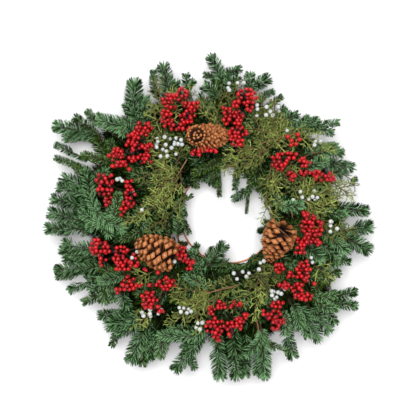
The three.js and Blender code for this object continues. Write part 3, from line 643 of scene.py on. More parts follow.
# Needles round a line. Those under it sweep up to its sides, and the last ones fan out round its tip.
def needlesAlong(line, random, start, length, tone, hue=0.0, density=1.0, form="fine", wide=1.0):
    corners, faces, formTones = needleForms[form]
    run = lineLength(line)
    fullness = length / needles["usualLength"]
    fuller = needles["evenCount"] + needles["longMore"] * fullness
    count = max(needles["fewest"], int(run * (1 - start) * needles["perMm"] * density * fuller))
    tipCount = int(needles["tipNeedles"] * density * min(fullness ** 1.5, needles["tipMost"]))
    share = start + (1 - start) * (np.arange(count) + random.random(count)) / count
    tipShare = needles["tipShare"] - random.random(tipCount) ** 2 * length / run * needles["tipReach"]
    share = np.concatenate([np.minimum(share, needles["lastShare"]), tipShare])
    total = len(share)
    along, side, above = axesAlong(line)
    at = sampled(line, line, share)
    forward, beside, over = [unit(sampled(line, axis, share)) for axis in (along, side, above)]

    azimuth = np.arange(total) * goldenAngle + random.normal(0, needles["twist"], total)
    onTop = random.random(total) < needles["topShare"]
    height = np.sin(azimuth)
    height = np.where(height < 0, height * needles["under"], height) * needles["flat"]
    height = np.where(onTop, np.abs(height) + needles["topRise"], height)
    across = np.cos(azimuth) * np.where(onTop, needles["topAcross"], 1.0)
    out = unit(beside * across[:, None] + over * height[:, None])
    nearTip = np.clip((share * run - run + length) / length, 0, 1)
    nearRoot = np.clip(1 - (share - start) * run / length, 0, 1)
    lean = needles["lean"] + random.normal(0, needles["leanSpread"], total)
    lean -= needles["leanLess"] * (nearTip + onTop)
    size = (1 - needles["rootShorter"] * nearRoot) * (1 - needles["tipShorter"] * nearTip)
    size = size * random.uniform(*needles["sizes"], total) * np.where(onTop, needles["topSize"], 1)
    lean[-tipCount:] = needles["tipSpread"] * np.sqrt(random.random(tipCount))
    size[-tipCount:] = random.uniform(*needles["tipSizes"], tipCount)

    angle, bend = np.radians(lean), needles["bend"]
    first, last = [unit(out * np.sin(turned)[:, None] + forward * np.cos(turned)[:, None])
                   for turned in (angle + bend, angle - bend)]
    flatSide = unit(np.cross(first, np.cross(over + needles["faceTilt"] * forward, first)))
    edge = unit(np.cross(first, flatSide))
    half = needles["width"] / 2 * wide * random.uniform(*needles["widths"], total)
    thin = needles["thickness"] / 2 * wide
    gone = corners[:, 2]
    late = gone ** 2 / 2
    reached = (length * size)[:, None, None] * (first[:, None, :] * (gone - late)[None, :, None]
                                                + last[:, None, :] * late[None, :, None])
    placed = (at[:, None, :] + reached + edge[:, None, :] * (corners[None, :, 0:1] * half[:, None, None])
              + flatSide[:, None, :] * (corners[None, :, 1:2] * thin))

    # A needle that faces up is painted paler and one that faces sideways or down darker: painted light and
    # shade.
    facing = height / np.maximum(np.hypot(height, across), needles["facingLeast"]) - needles["facingLeast"]
    tones = np.empty((total, len(corners), 5))
    tones[:, :, 0:2] = formTones[None]
    tones[:, :, 2] = random.random(total)[:, None]
    tones[:, :, 3] = (tone + needles["paintedTopLight"] * facing - needles["tipDarker"] * nearTip)[:, None]
    tones[:, :, 4] = hue
    ends = placed[:, -1], placed[:, 0]
    clear = ~inGlades(ends[0]) & ~inGlades(ends[1]) & ~inGlades((ends[0] + ends[1]) / 2)
    allFaces = repeatedFaces(faces, clear.sum(), len(corners))
    return placed[clear].reshape(-1, 3), allFaces, tones[clear].reshape(-1, 5), 0


def woodAlong(line, thick, thin, sides=6):
    return tubeChunk(line, np.linspace(thick, thin, len(line)), sides, 1)


# Where a branch lies in the bundle that the clamp holds: how far across and how high.
def bundleSeat(n):
    first, row = 0, 0
    while n >= first + fir["bundleRows"][row]:
        first += fir["bundleRows"][row]
        row += 1
    across = n - first - (fir["bundleRows"][row] - 1) / 2
    return across * fir["bundlePitch"], fir["bundleFloor"] + row * fir["bundleRise"]


# The line of a branch: from its butt in the bundle through the clamp and its root to its tip.
def branchLine(clampAngle, n, root, tip):
    seat = bundleSeat(n % sum(fir["bundleRows"]))
    run = fir["inward"] if math.hypot(tip[0], tip[1]) < ring["innerRail"] else fir["outward"]
    across = polar(clampAngle + 90, seat[0], 0)
    butt = polar(clampAngle, run["butt"], seat[1]) + across
    held = polar(clampAngle, run["held"], seat[1]) + across
    sag = [0, 0, 3]
    return smoothLine([butt, held, held * 0.45 + root * 0.55 - sag, root, tip], 40)


undergrowth = {
    "branches": 15,
    "spread": 27,
    "reaches": (0.5, 1.0),
    "leastReach": 135,
    "root": 128,
    "heights": (5, 32),
    # Dark tones: painted shade for the growth that lies low in the greens.
    "tones": (-1.0, -0.3),
    "needles": 29,
    "bareShare": 0.12,
    "wide": 1.35,
    "density": 0.55,
    "wood": (1.5, 0.8, 4),
}

# How far out the undergrowth may reach, so that the notches in the outline stay open: angle, reach.
undergrowthReach = [
    [0, 210], [10, 198], [28, 198], [37, 205], [50, 205], [60, 200], [75, 215], [92, 238], [106, 202],
    [117, 258], [124, 246], [138, 262], [146, 288], [151, 262], [155, 248], [162, 268], [175, 295],
    [189, 250], [200, 272], [208, 268], [218, 240], [230, 268], [240, 275], [249, 230], [261, 220],
    [270, 270], [280, 255], [290, 228], [300, 232], [307, 248], [318, 248], [327, 202], [335, 208],
    [348, 218], [360, 210],
]

# Fingers lower down in each bunch that show between the juniper, the berries and the cones.
filler = {
    "fingers": 9,
    "spread": 25,
    "reaches": (150, 232),
    "clear": 14,
    "run": 62,
    "leastRoot": 112,
    "swing": 5,
    "heights": (34, 50),
    "needles": (12, 18),
    "tones": (-0.3, 0.45),
    "moss": 1.0,
}

# Short growth along the inner rail, by angle and how close to the middle it reaches.
collar = {
    "needles": 12,
    "tones": (-0.1, 0.4),
    "length": 34,
    "density": 0.8,
    "bareShare": 0.05,
    "from": (106, 11),
    "over": 97,
    "sides": [(-1, 24), (1, 15)],  # which way it sweeps and how high
    "wood": (1.2, 0.7, 5),
}
collarReach = [
    [4, 78], [18, 78], [30, 76], [42, 72], [54, 74], [66, 80], [78, 94], [98, 92], [108, 84], [118, 84],
    [130, 84], [142, 92], [160, 88], [168, 86], [176, 86], [186, 88], [268, 91], [282, 90], [296, 91],
    [312, 94], [324, 90], [336, 76], [348, 76],
]


def nearestBunch(x, y):
    angle = math.degrees(math.atan2(y, x)) % 360
    return round((angle - ring["firstClamp"]) / clampStep) % ring["clamps"]


def furthestAt(angle):
    angles, reaches = np.array(undergrowthReach, float).T
    return np.interp(angle % 360, angles, reaches)


# Growth low down in a bunch, its dark tones painted shade. Every other branch is shorter.
def undergrowthOf(clampAngle, random):
    look = undergrowth
    chunks = []
    for k in range(look["branches"]):
        angle = clampAngle + look["spread"] * (k / (look["branches"] - 1) - 0.5)
        share = random.uniform(*look["reaches"]) if k % 2 else 1.0
        reach = furthestAt(angle) * share - look["needles"] * 0.5
        height = random.uniform(*look["heights"])
        tip = polar(angle, max(reach, look["leastReach"]), height)
        root = polar(clampAngle * 0.4 + angle * 0.6, look["root"], height * 0.4 + 8)
        line = branchLine(clampAngle, k, root, tip)
        tone, hue = random.uniform(*look["tones"]), random.random() ** 3
        chunks.append(needlesAlong(line, random, look["bareShare"], look["needles"], tone, hue,
                                   look["density"], "plain", look["wide"]))
        chunks.append(woodAlong(line, *look["wood"]))
    return chunks


def fillersOf(clampAngle, random):
    chunks = []
    for k in range(filler["fingers"]):
        angle = clampAngle + filler["spread"] * ((k + random.random()) / filler["fingers"] - 0.5)
        length = random.uniform(*filler["needles"])
        reach = min(random.uniform(*filler["reaches"]), furthestAt(angle) - filler["clear"])
        tip = polar(angle + random.normal(0, filler["swing"]), reach, 0)
        root = polar(angle, max(reach - filler["run"], filler["leastRoot"]), 0)
        height, tone = random.uniform(*filler["heights"]), random.uniform(*filler["tones"])
        finger = [*tip[:2], *root[:2], height, length, tone, filler["moss"] * random.random() ** 2]
        chunks += fingerOf(finger, clampAngle, k, random)
    return chunks


def collarOf(bunch, random):
    chunks = []
    for angle, reach in collarReach:
        if nearestBunch(*polar(angle, 1, 0)[:2]) != bunch:
            continue
        for turn, height in collar["sides"]:
            sweep = math.degrees(collar["length"] / reach) * turn
            line = smoothLine([polar(angle - sweep * 0.5, *collar["from"]),
                               polar(angle - sweep * 0.2, collar["over"], height - 2),
                               polar(angle + sweep * 0.5, reach + collar["needles"] * 0.6, height)], 14)
            tone, hue = random.uniform(*collar["tones"]), random.random() ** 2
            chunks.append(needlesAlong(line, random, collar["bareShare"], collar["needles"], tone, hue,
                                       collar["density"]))
            chunks.append(woodAlong(line, *collar["wood"]))
    return chunks


def fingerOf(finger, clampAngle, n, random):
    tipX, tipY, rootX, rootY, height, length, tone, hue = finger
    root = np.array([rootX, rootY, height - fir["rootDrop"]])
    tip = np.array([tipX, tipY, height], float)
    tip = tip + unit(root - tip) * length * fir["pastTip"]
    line = branchLine(clampAngle, n, root, tip)
    start = 1 - (np.linalg.norm(tip - root) + fir["bareRoot"]) / lineLength(line)
    return [needlesAlong(line, random, start, length, tone, hue), woodAlong(line, *fir["wood"])]


def buildFir():
    random = np.random.default_rng(7)
    for i in range(ring["clamps"]):
        clampAngle = ring["firstClamp"] + i * clampStep
        chunks = undergrowthOf(clampAngle, random) + fillersOf(clampAngle, random) + collarOf(i, random)
        mine = [finger for finger in firFingers + innerFingers if nearestBunch(finger[2], finger[3]) == i]
        for n, finger in enumerate(mine):
            chunks += fingerOf(finger, clampAngle, n, random)
        pieceFrom(f"firBunch{i + 1:02d}", chunks, [needle, wood], f"fir_bunch_{i + 1:02d}")


buildFir()
print("fir made")


# One of the two round rails, at its distance from the middle.
def railChunk(reach):
    count, sides, wire = ring["railSteps"], ring["railSides"], ring["wire"]
    around = np.arange(count) * 2 * math.pi / count
    turns = -np.arange(sides) * 2 * math.pi / sides
    out = np.stack([np.cos(around), np.sin(around), np.zeros(count)], axis=1)[:, None, :]
    up = np.array([0, 0, 1.0])
    rims = reach * out + wire * (np.cos(turns)[:, None] * out + (1 + np.sin(turns)[:, None]) * up)
    corners = rims.reshape(-1, 3)
    faces = bandFaces(count, sides, closed=True)
    return corners, np.array(faces), np.tile([0.5, 0, 0.5, 0.5], (len(corners), 1)), 0


def buildRing():
    halfArch = ring["clampArch"]
    arch = halfArch + [(-across, height) for across, height in reversed(halfArch[:-1])]
    chunks = [railChunk(ring["innerRail"]), railChunk(ring["outerRail"])]
    outer, halfWidth = ring["outerRail"], ring["clampHalfWidth"]
    for i in range(ring["clamps"]):
        angle = ring["firstClamp"] + i * clampStep
        points = [polar(angle, outer, height) + polar(angle + 90, across * halfWidth, 0)
                  for across, height in arch]
        chunks.append(rodChunk(points, 20, ring["clampWire"], 8, 0))
        ends = [polar(angle, ring[rail], ring["wire"]) for rail in ("innerRail", "outerRail")]
        chunks.append(tubeChunk(np.array(ends), ring["clampWire"], 8, 0))
    pieceFrom("clampRing", chunks, [copper], "clamp_ring", lifted=False)


buildRing()
print("ring made")

juniper = {
    "level": 60,
    "rise": 8,
    "axisRadius": (1.2, 0.8),
    "cordRadius": 0.88,
    "cordTip": 0.55,
    "branchPitch": 6.0,
    "branchLength": 32,
    "branchSizes": (0.65, 1.1),
    "cordPitch": 5.0,
    "cordLength": 13,
    "cordSizes": (0.7, 1.2),
    "forksPast": 7,
    "lean": 46,
    "unruly": 17,
    "bend": 0.42,
    "lift": 0.36,
    "endBranch": 14,
    "tuftLength": 34,
    "tones": (0.1, 1.0),
    "tuftTones": (0.3, 1.0),
    "toneSpread": 0.25,
    "branchTaper": (1.05, 0.6),
    "cordTaper": (1.15, 0.6),
    "sideCord": 0.85,
    "forkCord": 0.75,
    "forkTurn": 0.8,
    "forkLift": 0.2,
    "stem": 1.5,
    "tuftStem": 1.1,
}

# Each sprig: the lines of its axes from root to tip, as x and y.
juniperSprigs = [
    [[[-121, 170], [-128, 240]], [[-108, 160], [-102, 226]], [[-126, 150], [-140, 196]]],
    [[[-90, 49], [-120, 100], [-145, 150]], [[-95, 95], [-78, 146]], [[-120, 88], [-124, 150]]],
    [[[-86, 60], [-130, 20], [-188, -13]], [[-100, 70], [-128, 46], [-150, 10]],
     [[-96, 90], [-118, 60], [-126, 8]], [[-82, 34], [-104, 6], [-142, -24]],
     [[-92, 82], [-124, 84], [-162, 66]]],
    [[[-13, 159], [2, 200], [14, 236]], [[-24, 158], [-20, 190], [-8, 222]]],
    [[[100, 130], [80, 170], [51, 214]], [[106, 137], [70, 150], [38, 159]],
     [[92, 124], [84, 160], [82, 204]], [[100, 128], [92, 156], [95, 174]],
     [[76, 122], [58, 150], [44, 186]]],
    [[[71, 119], [30, 104], [-9, 88]], [[60, 112], [30, 92], [12, 76]], [[66, 118], [36, 122], [0, 112]]],
    [[[75, 134], [130, 140], [170, 134]], [[96, 138], [116, 152], [130, 156]]],
    [[[79, 92], [86, 55], [88, 18]], [[90, 84], [110, 62], [120, 40]], [[76, 88], [70, 50], [67, 22]],
     [[96, 88], [124, 74], [146, 50]]],
    [[[134, 27], [184, 44], [228, 56]], [[126, 36], [160, 16], [190, 22]], [[130, 40], [176, 62], [222, 34]],
     [[140, 22], [166, -8], [184, -44]]],
    [[[86, -86], [72, -112], [68, -141]], [[74, -84], [58, -104], [48, -132]]],
    [[[60, -119], [30, -140], [2, -167]], [[20, -126], [-20, -136], [-57, -150]],
     [[58, -122], [52, -150], [44, -184]]],
    [[[-24, -156], [-60, -158], [-97, -152]], [[-40, -150], [-70, -170], [-92, -176]],
     [[-36, -138], [-72, -136], [-110, -126]], [[-44, -152], [-56, -180], [-60, -206]],
     [[-52, -158], [-80, -180], [-104, -196]]],
]

# Small tufts of juniper among the rest: x, y and the direction that they point in.
juniperTufts = [
    [-74, 190, 84], [-35, 172, 120], [185, -18, -20], [156, -92, -40], [-141, -104, 200], [-140, -176, 220],
    [64, 22, -60], [170, 18, 30], [150, 112, 10],
]


# A cord of scale leaves, bent by chance.
def cord(start, direction, length, random):
    sideways = random.normal(0, juniper["bend"], 3) * length * 0.5
    middle = start + direction * length * 0.5 + sideways * 0.5
    end = start + direction * length + sideways * [0.5, 0.5, 0.3]
    return smoothLine([start, middle, end], 5)


def cordChunk(line, thickness, tone, random):
    radii = juniper["cordRadius"] * thickness * np.linspace(1, juniper["cordTip"], len(line))
    return tubeChunk(line, radii, 4, 0, (0, 0, random.random(), tone))


# Where the shoot k starts on a line and the way that it grows, to one side and the other in turn.
def shootFrom(line, axes, share, k, lean, lift):
    place, forward, beside = [sampled(line, values, [share])[0] for values in (line, axes[0], axes[1])]
    turn = 1 if k % 2 else -1
    angle = math.radians(juniper["lean"] + lean)
    return place, unit(forward * math.cos(angle) + beside * turn * math.sin(angle) + [0, 0, lift])


# A branch of scale leaves: a wavy cord with shorter cords on both of its sides. The longer of these fork.
def leafyBranch(start, direction, length, tone, random, chunks):
    line = cord(start, direction, length, random)
    tone = tone + random.normal(0, juniper["toneSpread"])
    chunks.append(cordChunk(line, 1, tone, random))
    axes = axesAlong(line)
    count = int(length / juniper["cordPitch"])
    longest, less = juniper["cordTaper"]
    for k in range(count):
        share = (k + 0.7) / (count + 0.3)
        lift = random.normal(0.1, juniper["lift"])
        lean = random.normal(0, juniper["unruly"])
        place, way = shootFrom(line, axes, share, k, lean, lift)
        reach = juniper["cordLength"] * (longest - less * share) * random.uniform(*juniper["cordSizes"])
        small = cord(place, way, reach, random)
        chunks.append(cordChunk(small, juniper["sideCord"], tone, random))
        if reach > juniper["forksPast"]:
            turn = juniper["forkTurn"] * (-1 if k % 2 else 1)
            fork = unit(way + turn * np.cross(way, [0, 0, 1]) + [0, 0, random.normal(0, juniper["forkLift"])])
            tiny = cord(small[2], fork, reach * 0.5, random)
            chunks.append(cordChunk(tiny, juniper["forkCord"], tone, random))


def juniperAxis(points, tone, random, chunks):
    steps = 16
    placed = [[x, y, juniper["level"] + juniper["rise"] * k / len(points)] for k, (x, y) in enumerate(points)]
    line = smoothLine(placed, steps)
    chunks.append(tubeChunk(line, np.linspace(*juniper["axisRadius"], steps), 6, 1))
    axes = axesAlong(line)
    count = int(lineLength(line) / juniper["branchPitch"])
    longest, less = juniper["branchTaper"]
    for k in range(count):
        share = (k + 0.3) / count
        lean = random.normal(0, juniper["unruly"])
        lift = random.normal(0.05, juniper["lift"])
        place, way = shootFrom(line, axes, share, k, lean, lift)
        length = juniper["branchLength"] * (longest - less * share) * random.uniform(*juniper["branchSizes"])
        leafyBranch(place, way, length, tone, random, chunks)
    leafyBranch(line[-2], unit(line[-1] - line[-2]), juniper["endBranch"], tone, random, chunks)


# How far from the middle and how high the foot of a stem is, and what places the knee that it bends at.
stem = {"foot": (111, 7), "kneeReach": 119, "kneeShare": 0.72, "kneeTop": 40, "kneeDrop": 8, "kneeTurn": 0.35}


# A stem from a place down between two bunches to the ring.
def stemToRing(x, y, height, radius, sides=6):
    angle = math.degrees(math.atan2(y, x))
    seam = round(angle / clampStep) * clampStep
    knee = polar(seam + (angle - seam) * stem["kneeTurn"],
                 max(stem["kneeReach"], math.hypot(x, y) * stem["kneeShare"]),
                 min(stem["kneeTop"], height - stem["kneeDrop"]))
    return rodChunk([polar(seam, *stem["foot"]), knee, [x, y, height]], 14, radius, sides, 1)


def buildJuniper():
    random = np.random.default_rng(11)
    looks = [juniperLeaf, juniperWood]
    for i, axes in enumerate(juniperSprigs):
        chunks = [stemToRing(*axes[0][0], juniper["level"], juniper["stem"])]
        for points in axes:
            juniperAxis(points, random.uniform(*juniper["tones"]), random, chunks)
        pieceFrom(f"juniperSprig{i + 1:02d}", chunks, looks, f"juniper_sprig_{i + 1:02d}")
    chunks = []
    for x, y, direction in juniperTufts:
        tip = np.array([x, y]) + polar(direction, juniper["tuftLength"], 0)[:2]
        chunks.append(stemToRing(x, y, juniper["level"], juniper["tuftStem"], 5))
        juniperAxis([[x, y], tip], random.uniform(*juniper["tuftTones"]), random, chunks)
    pieceFrom("juniperTufts", chunks, looks, None)


buildJuniper()
print("juniper made")

redBerry = {
    "radius": (3.1, 4.1),
    "darkSize": 0.62,
    "flat": 0.96,
    "spacing": 7.7,
    "rowPitch": 0.87,
    "jitter": 1.0,
    "edge": 1.5,
    "uneven": 1.8,
    "level": 74,
    "dome": 9,
    "deeper": 8,
    "deepSpacing": 1.15,
    "deepDome": 0.8,
    "knotDrop": 22,
    "sway": 0.35,
    "dropped": 0.15,
    "dark": 0.12,
    "stalk": 0.5,
    "baseHeight": 46.0,
    "stem": 1.5,
    "branch": 1.2,
    "twigs": 5,
    "twig": ((0, -1), (0.35, 3), (0.7, 8)),
    "twigRadius": (0.9, 0.5),
    "loneRadius": 4.2,
    "loneStem": 0.7,
}

# Each pick of red berries: its bunches, as x, y, half width and half depth.
redPicks = [
    [[-84, 220, 16, 12], [-104, 209, 19, 14], [-71, 198, 18, 12], [-108, 199, 17, 9], [-77, 178, 16, 14],
     [-113, 176, 12, 19], [-99, 159, 13, 10], [-82, 160, 12, 10]],
    [[-157, 157, 19, 15], [-174, 143, 13, 9], [-174, 123, 16, 18], [-148, 127, 13, 11]],
    [[-152, 104, 15, 12], [-174, 104, 9, 8], [-205, 110, 17, 13], [-199, 93, 15, 11]],
    [[-225, 64, 19, 13], [-225, 46, 16, 14], [-220, 28, 8, 12], [-181, 57, 9, 11], [-179, 40, 11, 13],
     [-183, 22, 12, 12], [-194, 4, 6, 12]],
    [[-60, 112, 11, 10], [-44, 119, 12, 7], [-29, 117, 9, 7]],
    [[31, 214, 21, 17], [37, 198, 10, 12], [13, 203, 11, 10], [-5, 187, 12, 12], [15, 183, 16, 10],
     [-4, 170, 12, 8], [16, 168, 10, 10]],
    [[16, 146, 19, 16], [2, 135, 9, 9], [16, 131, 13, 10]],
    [[92, 97, 19, 18], [112, 108, 14, 9], [113, 71, 10, 10], [135, 95, 14, 10], [137, 75, 12, 9],
     [157, 73, 12, 10], [178, 68, 15, 11]],
    [[143, -2, 15, 10], [165, -16, 10, 12], [141, -16, 15, 10], [139, -31, 13, 12], [159, -31, 12, 10],
     [156, -49, 11, 11], [135, -48, 15, 12], [128, -64, 12, 10]],
    [[90, -95, 10, 10], [135, -95, 16, 14], [135, -112, 13, 9], [102, -126, 15, 10], [124, -132, 14, 10],
     [135, -148, 17, 10], [121, -150, 9, 8], [110, -108, 9, 8]],
    [[86, -161, 14, 10], [66, -178, 8, 10], [82, -183, 16, 14], [95, -189, 9, 10], [81, -201, 10, 11]],
    [[-11, -163, 18, 9], [13, -163, 12, 9], [26, -181, 10, 12], [-33, -174, 10, 15], [-31, -201, 13, 18],
     [-18, -200, 11, 13], [-22, -223, 9, 10], [4, -200, 14, 11], [16, -196, 12, 12], [2, -214, 7, 9]],
    [[-242, -49, 10, 7], [-245, -62, 9, 10], [-231, -70, 12, 7], [-225, -51, 10, 8], [-220, -62, 8, 7],
     [-199, -64, 17, 9], [-199, -79, 14, 14], [-192, -90, 17, 13], [-174, -84, 12, 15], [-229, -84, 8, 9],
     [-152, -98, 9, 7]],
    [[-183, -124, 19, 16], [-199, -134, 8, 10], [-167, -126, 10, 8], [-141, -126, 12, 9],
     [-113, -124, 17, 13], [-145, -150, 17, 14], [-148, -163, 13, 9], [-124, -170, 9, 10]],
    [[-88, -64, 10, 11], [-82, -77, 10, 10], [-71, -86, 10, 9], [-70, -97, 8, 8]],
]

# Red berries on their own: x and y.
loneBerries = [
    [-181, 83], [154, -124], [-129, -104], [106, 142], [113, 135], [121, 129], [112, 127], [127, 137],
    [124, 146],
]

inward = 0.93  # the base of a pick or sprig is this much nearer to the middle than its berries


# A berry turned about its own axis, with a small dent where its pip is.
def berryTemplate(sides=12, rims=8):
    shares = np.arange(1, rims) / rims
    profile = [(math.sin(math.pi * share), -math.cos(math.pi * share), share) for share in shares]
    profile.append((0.16, 0.955, 0.97))
    around = np.arange(sides) * 2 * math.pi / sides
    corners = [[reach * math.cos(turn), reach * math.sin(turn), height] for reach, height, _ in profile
               for turn in around]
    corners = [[0, 0, -1], *corners, [0, 0, 0.93]]
    tones = [[0, 0], *[[share, 0] for _, _, share in profile for _ in around], [1, 0]]
    end = len(corners) - 1
    faces = capFaces(1, sides, 0, -1) + bandFaces(rims, sides, 1) + capFaces(end - sides, sides, end)
    return np.array(corners), np.array(faces), np.array(tones)


berryCorners, berryFaces, berryTones = berryTemplate()


# Berries at some places, each with its stem side turned down to where it hangs from.
def berriesChunk(places, radii, ways, chances, dark=()):
    axis = unit(ways)
    side = unit(np.cross(axis, np.array([0.3, 1.0, 0.1])))
    frames = np.stack([side, np.cross(axis, side), axis], axis=1)
    tones = np.zeros((len(places), len(berryCorners), 4))
    tones[:, :, 0:2] = berryTones[None]
    tones[:, :, 2] = chances[:, None]
    if len(dark):
        tones[dark, :, 0] = 1.0
    scales = np.repeat(radii[:, None], 3, axis=1) * [1, 1, redBerry["flat"]]
    return copiesChunk(berryCorners, berryFaces, frames, scales, places, tones, 0)


# Places all over the bunches of a pick, in staggered rows that are a little uneven. Each knows its bunch.
def bunchPlaces(bunches, spacing, level, dome, random):
    bunches = np.array(bunches, float)
    middles, halves = bunches[:, :2], bunches[:, 2:]
    low, high = (middles - halves).min(axis=0), (middles + halves).max(axis=0)
    rowPitch = redBerry["rowPitch"]
    places, owners = [], []
    for j in range(int((high[1] - low[1]) / (spacing * rowPitch)) + 2):
        for i in range(int((high[0] - low[0]) / spacing) + 2):
            at = low + spacing * np.array([i + 0.5 * (j % 2), j * rowPitch])
            at = at + random.normal(0, redBerry["jitter"], 2)
            inside = (((at - middles) / (halves - redBerry["edge"])) ** 2).sum(axis=1)
            owner = int(inside.argmin())
            if inside[owner] < 1:
                raised = dome * math.sqrt(1 - inside[owner]) + random.normal(0, redBerry["uneven"])
                places.append([*at, level + raised])
                owners.append(owner)
    return np.array(places), np.array(owners)


# The berries of a pick and their stalks. It returns the knots that the stalks of each bunch grow from.
def berryPick(bunches, random, chunks):
    level, dome, spacing = redBerry["level"], redBerry["dome"], redBerry["spacing"]
    top, topOwners = bunchPlaces(bunches, spacing, level, dome, random)
    low, lowOwners = bunchPlaces(bunches, spacing * redBerry["deepSpacing"], level - redBerry["deeper"],
                                 dome * redBerry["deepDome"], random)
    keep = random.random(len(top)) > redBerry["dropped"]
    places = np.vstack([top[keep], low])
    owners = np.concatenate([topOwners[keep], lowOwners])
    count = len(places)
    radii = random.uniform(*redBerry["radius"], count)
    knots = np.array([[x, y, level - redBerry["knotDrop"]] for x, y, _, _ in bunches], float)
    ways = unit(unit(places - knots[owners]) + random.normal(0, redBerry["sway"], (count, 3)))
    dark = random.random(count) < redBerry["dark"]
    radii[dark] *= redBerry["darkSize"]
    chunks.append(berriesChunk(places, radii, ways, random.random(count), dark))
    for place, radius, way, owner in zip(places, radii, ways, owners):
        end = place - way * radius * 0.95
        start = knots[owner] + (place - knots[owner]) * [0.35, 0.35, 0.1]
        line = np.array([start, start * 0.4 + end * 0.6 - [0, 0, 1.5], end])
        chunks.append(tubeChunk(line, redBerry["stalk"], 4, 1))
    return knots


def buildRedBerries():
    random = np.random.default_rng(23)
    looks = [redSkin, darkStem]
    for i, bunches in enumerate(redPicks):
        chunks = []
        knots = berryPick(bunches, random, chunks)
        base = np.array([*(knots[:, :2].mean(axis=0) * inward), redBerry["baseHeight"]])
        chunks.append(stemToRing(*base, redBerry["stem"]))
        for knot, (_, _, halfWidth, halfDepth) in zip(knots, bunches):
            chunks.append(rodChunk([base, (base + knot) / 2 - [0, 0, 2], knot], 8, redBerry["branch"], 5, 1))
            for turn in np.arange(redBerry["twigs"]) * 2 * math.pi / redBerry["twigs"]:
                spread = np.array([math.cos(turn) * halfWidth, math.sin(turn) * halfDepth, 0])
                points = [knot + spread * share + [0, 0, rise] for share, rise in redBerry["twig"]]
                chunks.append(rodChunk(points, 5, np.linspace(*redBerry["twigRadius"], 5), 4, 1))
        pieceFrom(f"redBerryPick{i + 1:02d}", chunks, looks, f"red_berry_pick_{i + 1:02d}")
    chunks = []
    for x, y in loneBerries:
        place = np.array([[x, y, redBerry["level"] - 2.0]])
        chunks.append(berriesChunk(place, np.array([redBerry["loneRadius"]]), np.array([[0.1, 0.2, 1.0]]),
                                   np.array([0.3])))
        chunks.append(stemToRing(x, y, redBerry["level"] - 6, redBerry["loneStem"], 5))
    pieceFrom("loneBerries", chunks, looks, None)


whiteBerry = {
    "radius": (3.3, 4.2),
    "level": 71,
    "heights": (-9, 7),
    "apart": 7.4,
    "tries": 400,
    "knotDrop": 18.0,
    "sway": 0.4,
    "stalk": 0.45,
    "baseHeight": 50,
    "stem": 1.3,
    "branch": 1.0,
    "looseSpread": 9,
    "looseStem": 0.9,
}

# White berries: for each sprig the middle, the spread and the number of each of its groups.
whiteSprigs = [
    [[-110, 125, 27, 22, 19]], [[67, 190, 24, 14, 9]], [[136, 35, 30, 12, 8]], [[184, -21, 14, 16, 5]],
    [[90, -143, 16, 12, 8]], [[20, -110, 22, 8, 5]], [[-82, -174, 16, 12, 6], [-51, -201, 12, 8, 4]],
    [[-139, -178, 22, 10, 7]],
]

# Loose groups of white berries on stems of their own: x, y and number.
whiteGroups = [
    [-196, 68, 3], [-167, 47, 1], [-159, 12, 1], [-3, 231, 3], [23, 236, 2], [101, 146, 1], [157, 134, 3],
    [147, -79, 2], [60, -92, 3], [-167, -75, 2], [-95, -85, 2],
]


def spreadPlaces(x, y, halfWidth, halfDepth, count, random):
    places = []
    tries = 0
    while len(places) < count and tries < whiteBerry["tries"]:
        tries += 1
        turn, share = random.uniform(0, 2 * math.pi), math.sqrt(random.random())
        place = np.array([x + math.cos(turn) * share * halfWidth, y + math.sin(turn) * share * halfDepth,
                          whiteBerry["level"] + random.uniform(*whiteBerry["heights"])])
        if all(np.linalg.norm(place - other) > whiteBerry["apart"] for other in places):
            places.append(place)
    return np.array(places)


def whiteGroup(x, y, halfWidth, halfDepth, count, random, chunks):
    places = spreadPlaces(x, y, halfWidth, halfDepth, count, random)
    knot = np.array([x, y, whiteBerry["level"] - whiteBerry["knotDrop"]])
    ways = unit(places - knot) + random.normal(0, whiteBerry["sway"], places.shape)
    radii = random.uniform(*whiteBerry["radius"], len(places))
    chunks.append(berriesChunk(places, radii, ways, random.random(len(places))))
    for place, radius, way in zip(places, radii, unit(ways)):
        points = [knot, (knot + place) / 2 - [0, 0, 2], place - way * radius * 0.95]
        chunks.append(rodChunk(points, 5, whiteBerry["stalk"], 4, 1))
    return knot


def buildWhiteBerries():
    random = np.random.default_rng(31)
    looks = [whiteSkin, darkStem]
    for i, groups in enumerate(whiteSprigs):
        base = np.array([groups[0][0] * inward, groups[0][1] * inward, whiteBerry["baseHeight"]])
        chunks = [stemToRing(*base, whiteBerry["stem"])]
        for group in groups:
            knot = whiteGroup(*group, random, chunks)
            chunks.append(rodChunk([base, (base + knot) / 2, knot], 6, whiteBerry["branch"], 5, 1))
        pieceFrom(f"whiteBerrySprig{i + 1}", chunks, looks, f"white_berry_sprig_{i + 1}")
    chunks = []
    for x, y, count in whiteGroups:
        knot = whiteGroup(x, y, whiteBerry["looseSpread"], whiteBerry["looseSpread"], count, random, chunks)
        chunks.append(stemToRing(*knot, whiteBerry["looseStem"], 5))
    pieceFrom("whiteBerryGroups", chunks, looks, None)


buildRedBerries()
buildWhiteBerries()
print("berries made")

# Each cone: the middle of its base, its apex, its greatest radius, the number of its scales, how open it is,
# how much it tapers, and the x, y and reach of a hollow with no scales in its top. Only the first shows the
# stub of its stalk.
cones = [
    {"base": [-60, 138.5, 80], "apex": [15, 147.5, 46], "radius": 26, "scales": 230, "open": 0.25,
     "taper": 0.35, "hollow": [-58.5, 143.5, 17], "stub": True},
    {"base": [-103, -77, 72], "apex": [-180, -46, 62], "radius": 30, "scales": 92, "open": 1.0,
     "taper": -0.28, "hollow": [-101, -78, 0], "stub": False},
    {"base": [97, -24, 80], "apex": [66, -97, 56], "radius": 32, "scales": 96, "open": 0.95,
     "taper": 0.25, "hollow": [105, -28, 9], "stub": False},
]

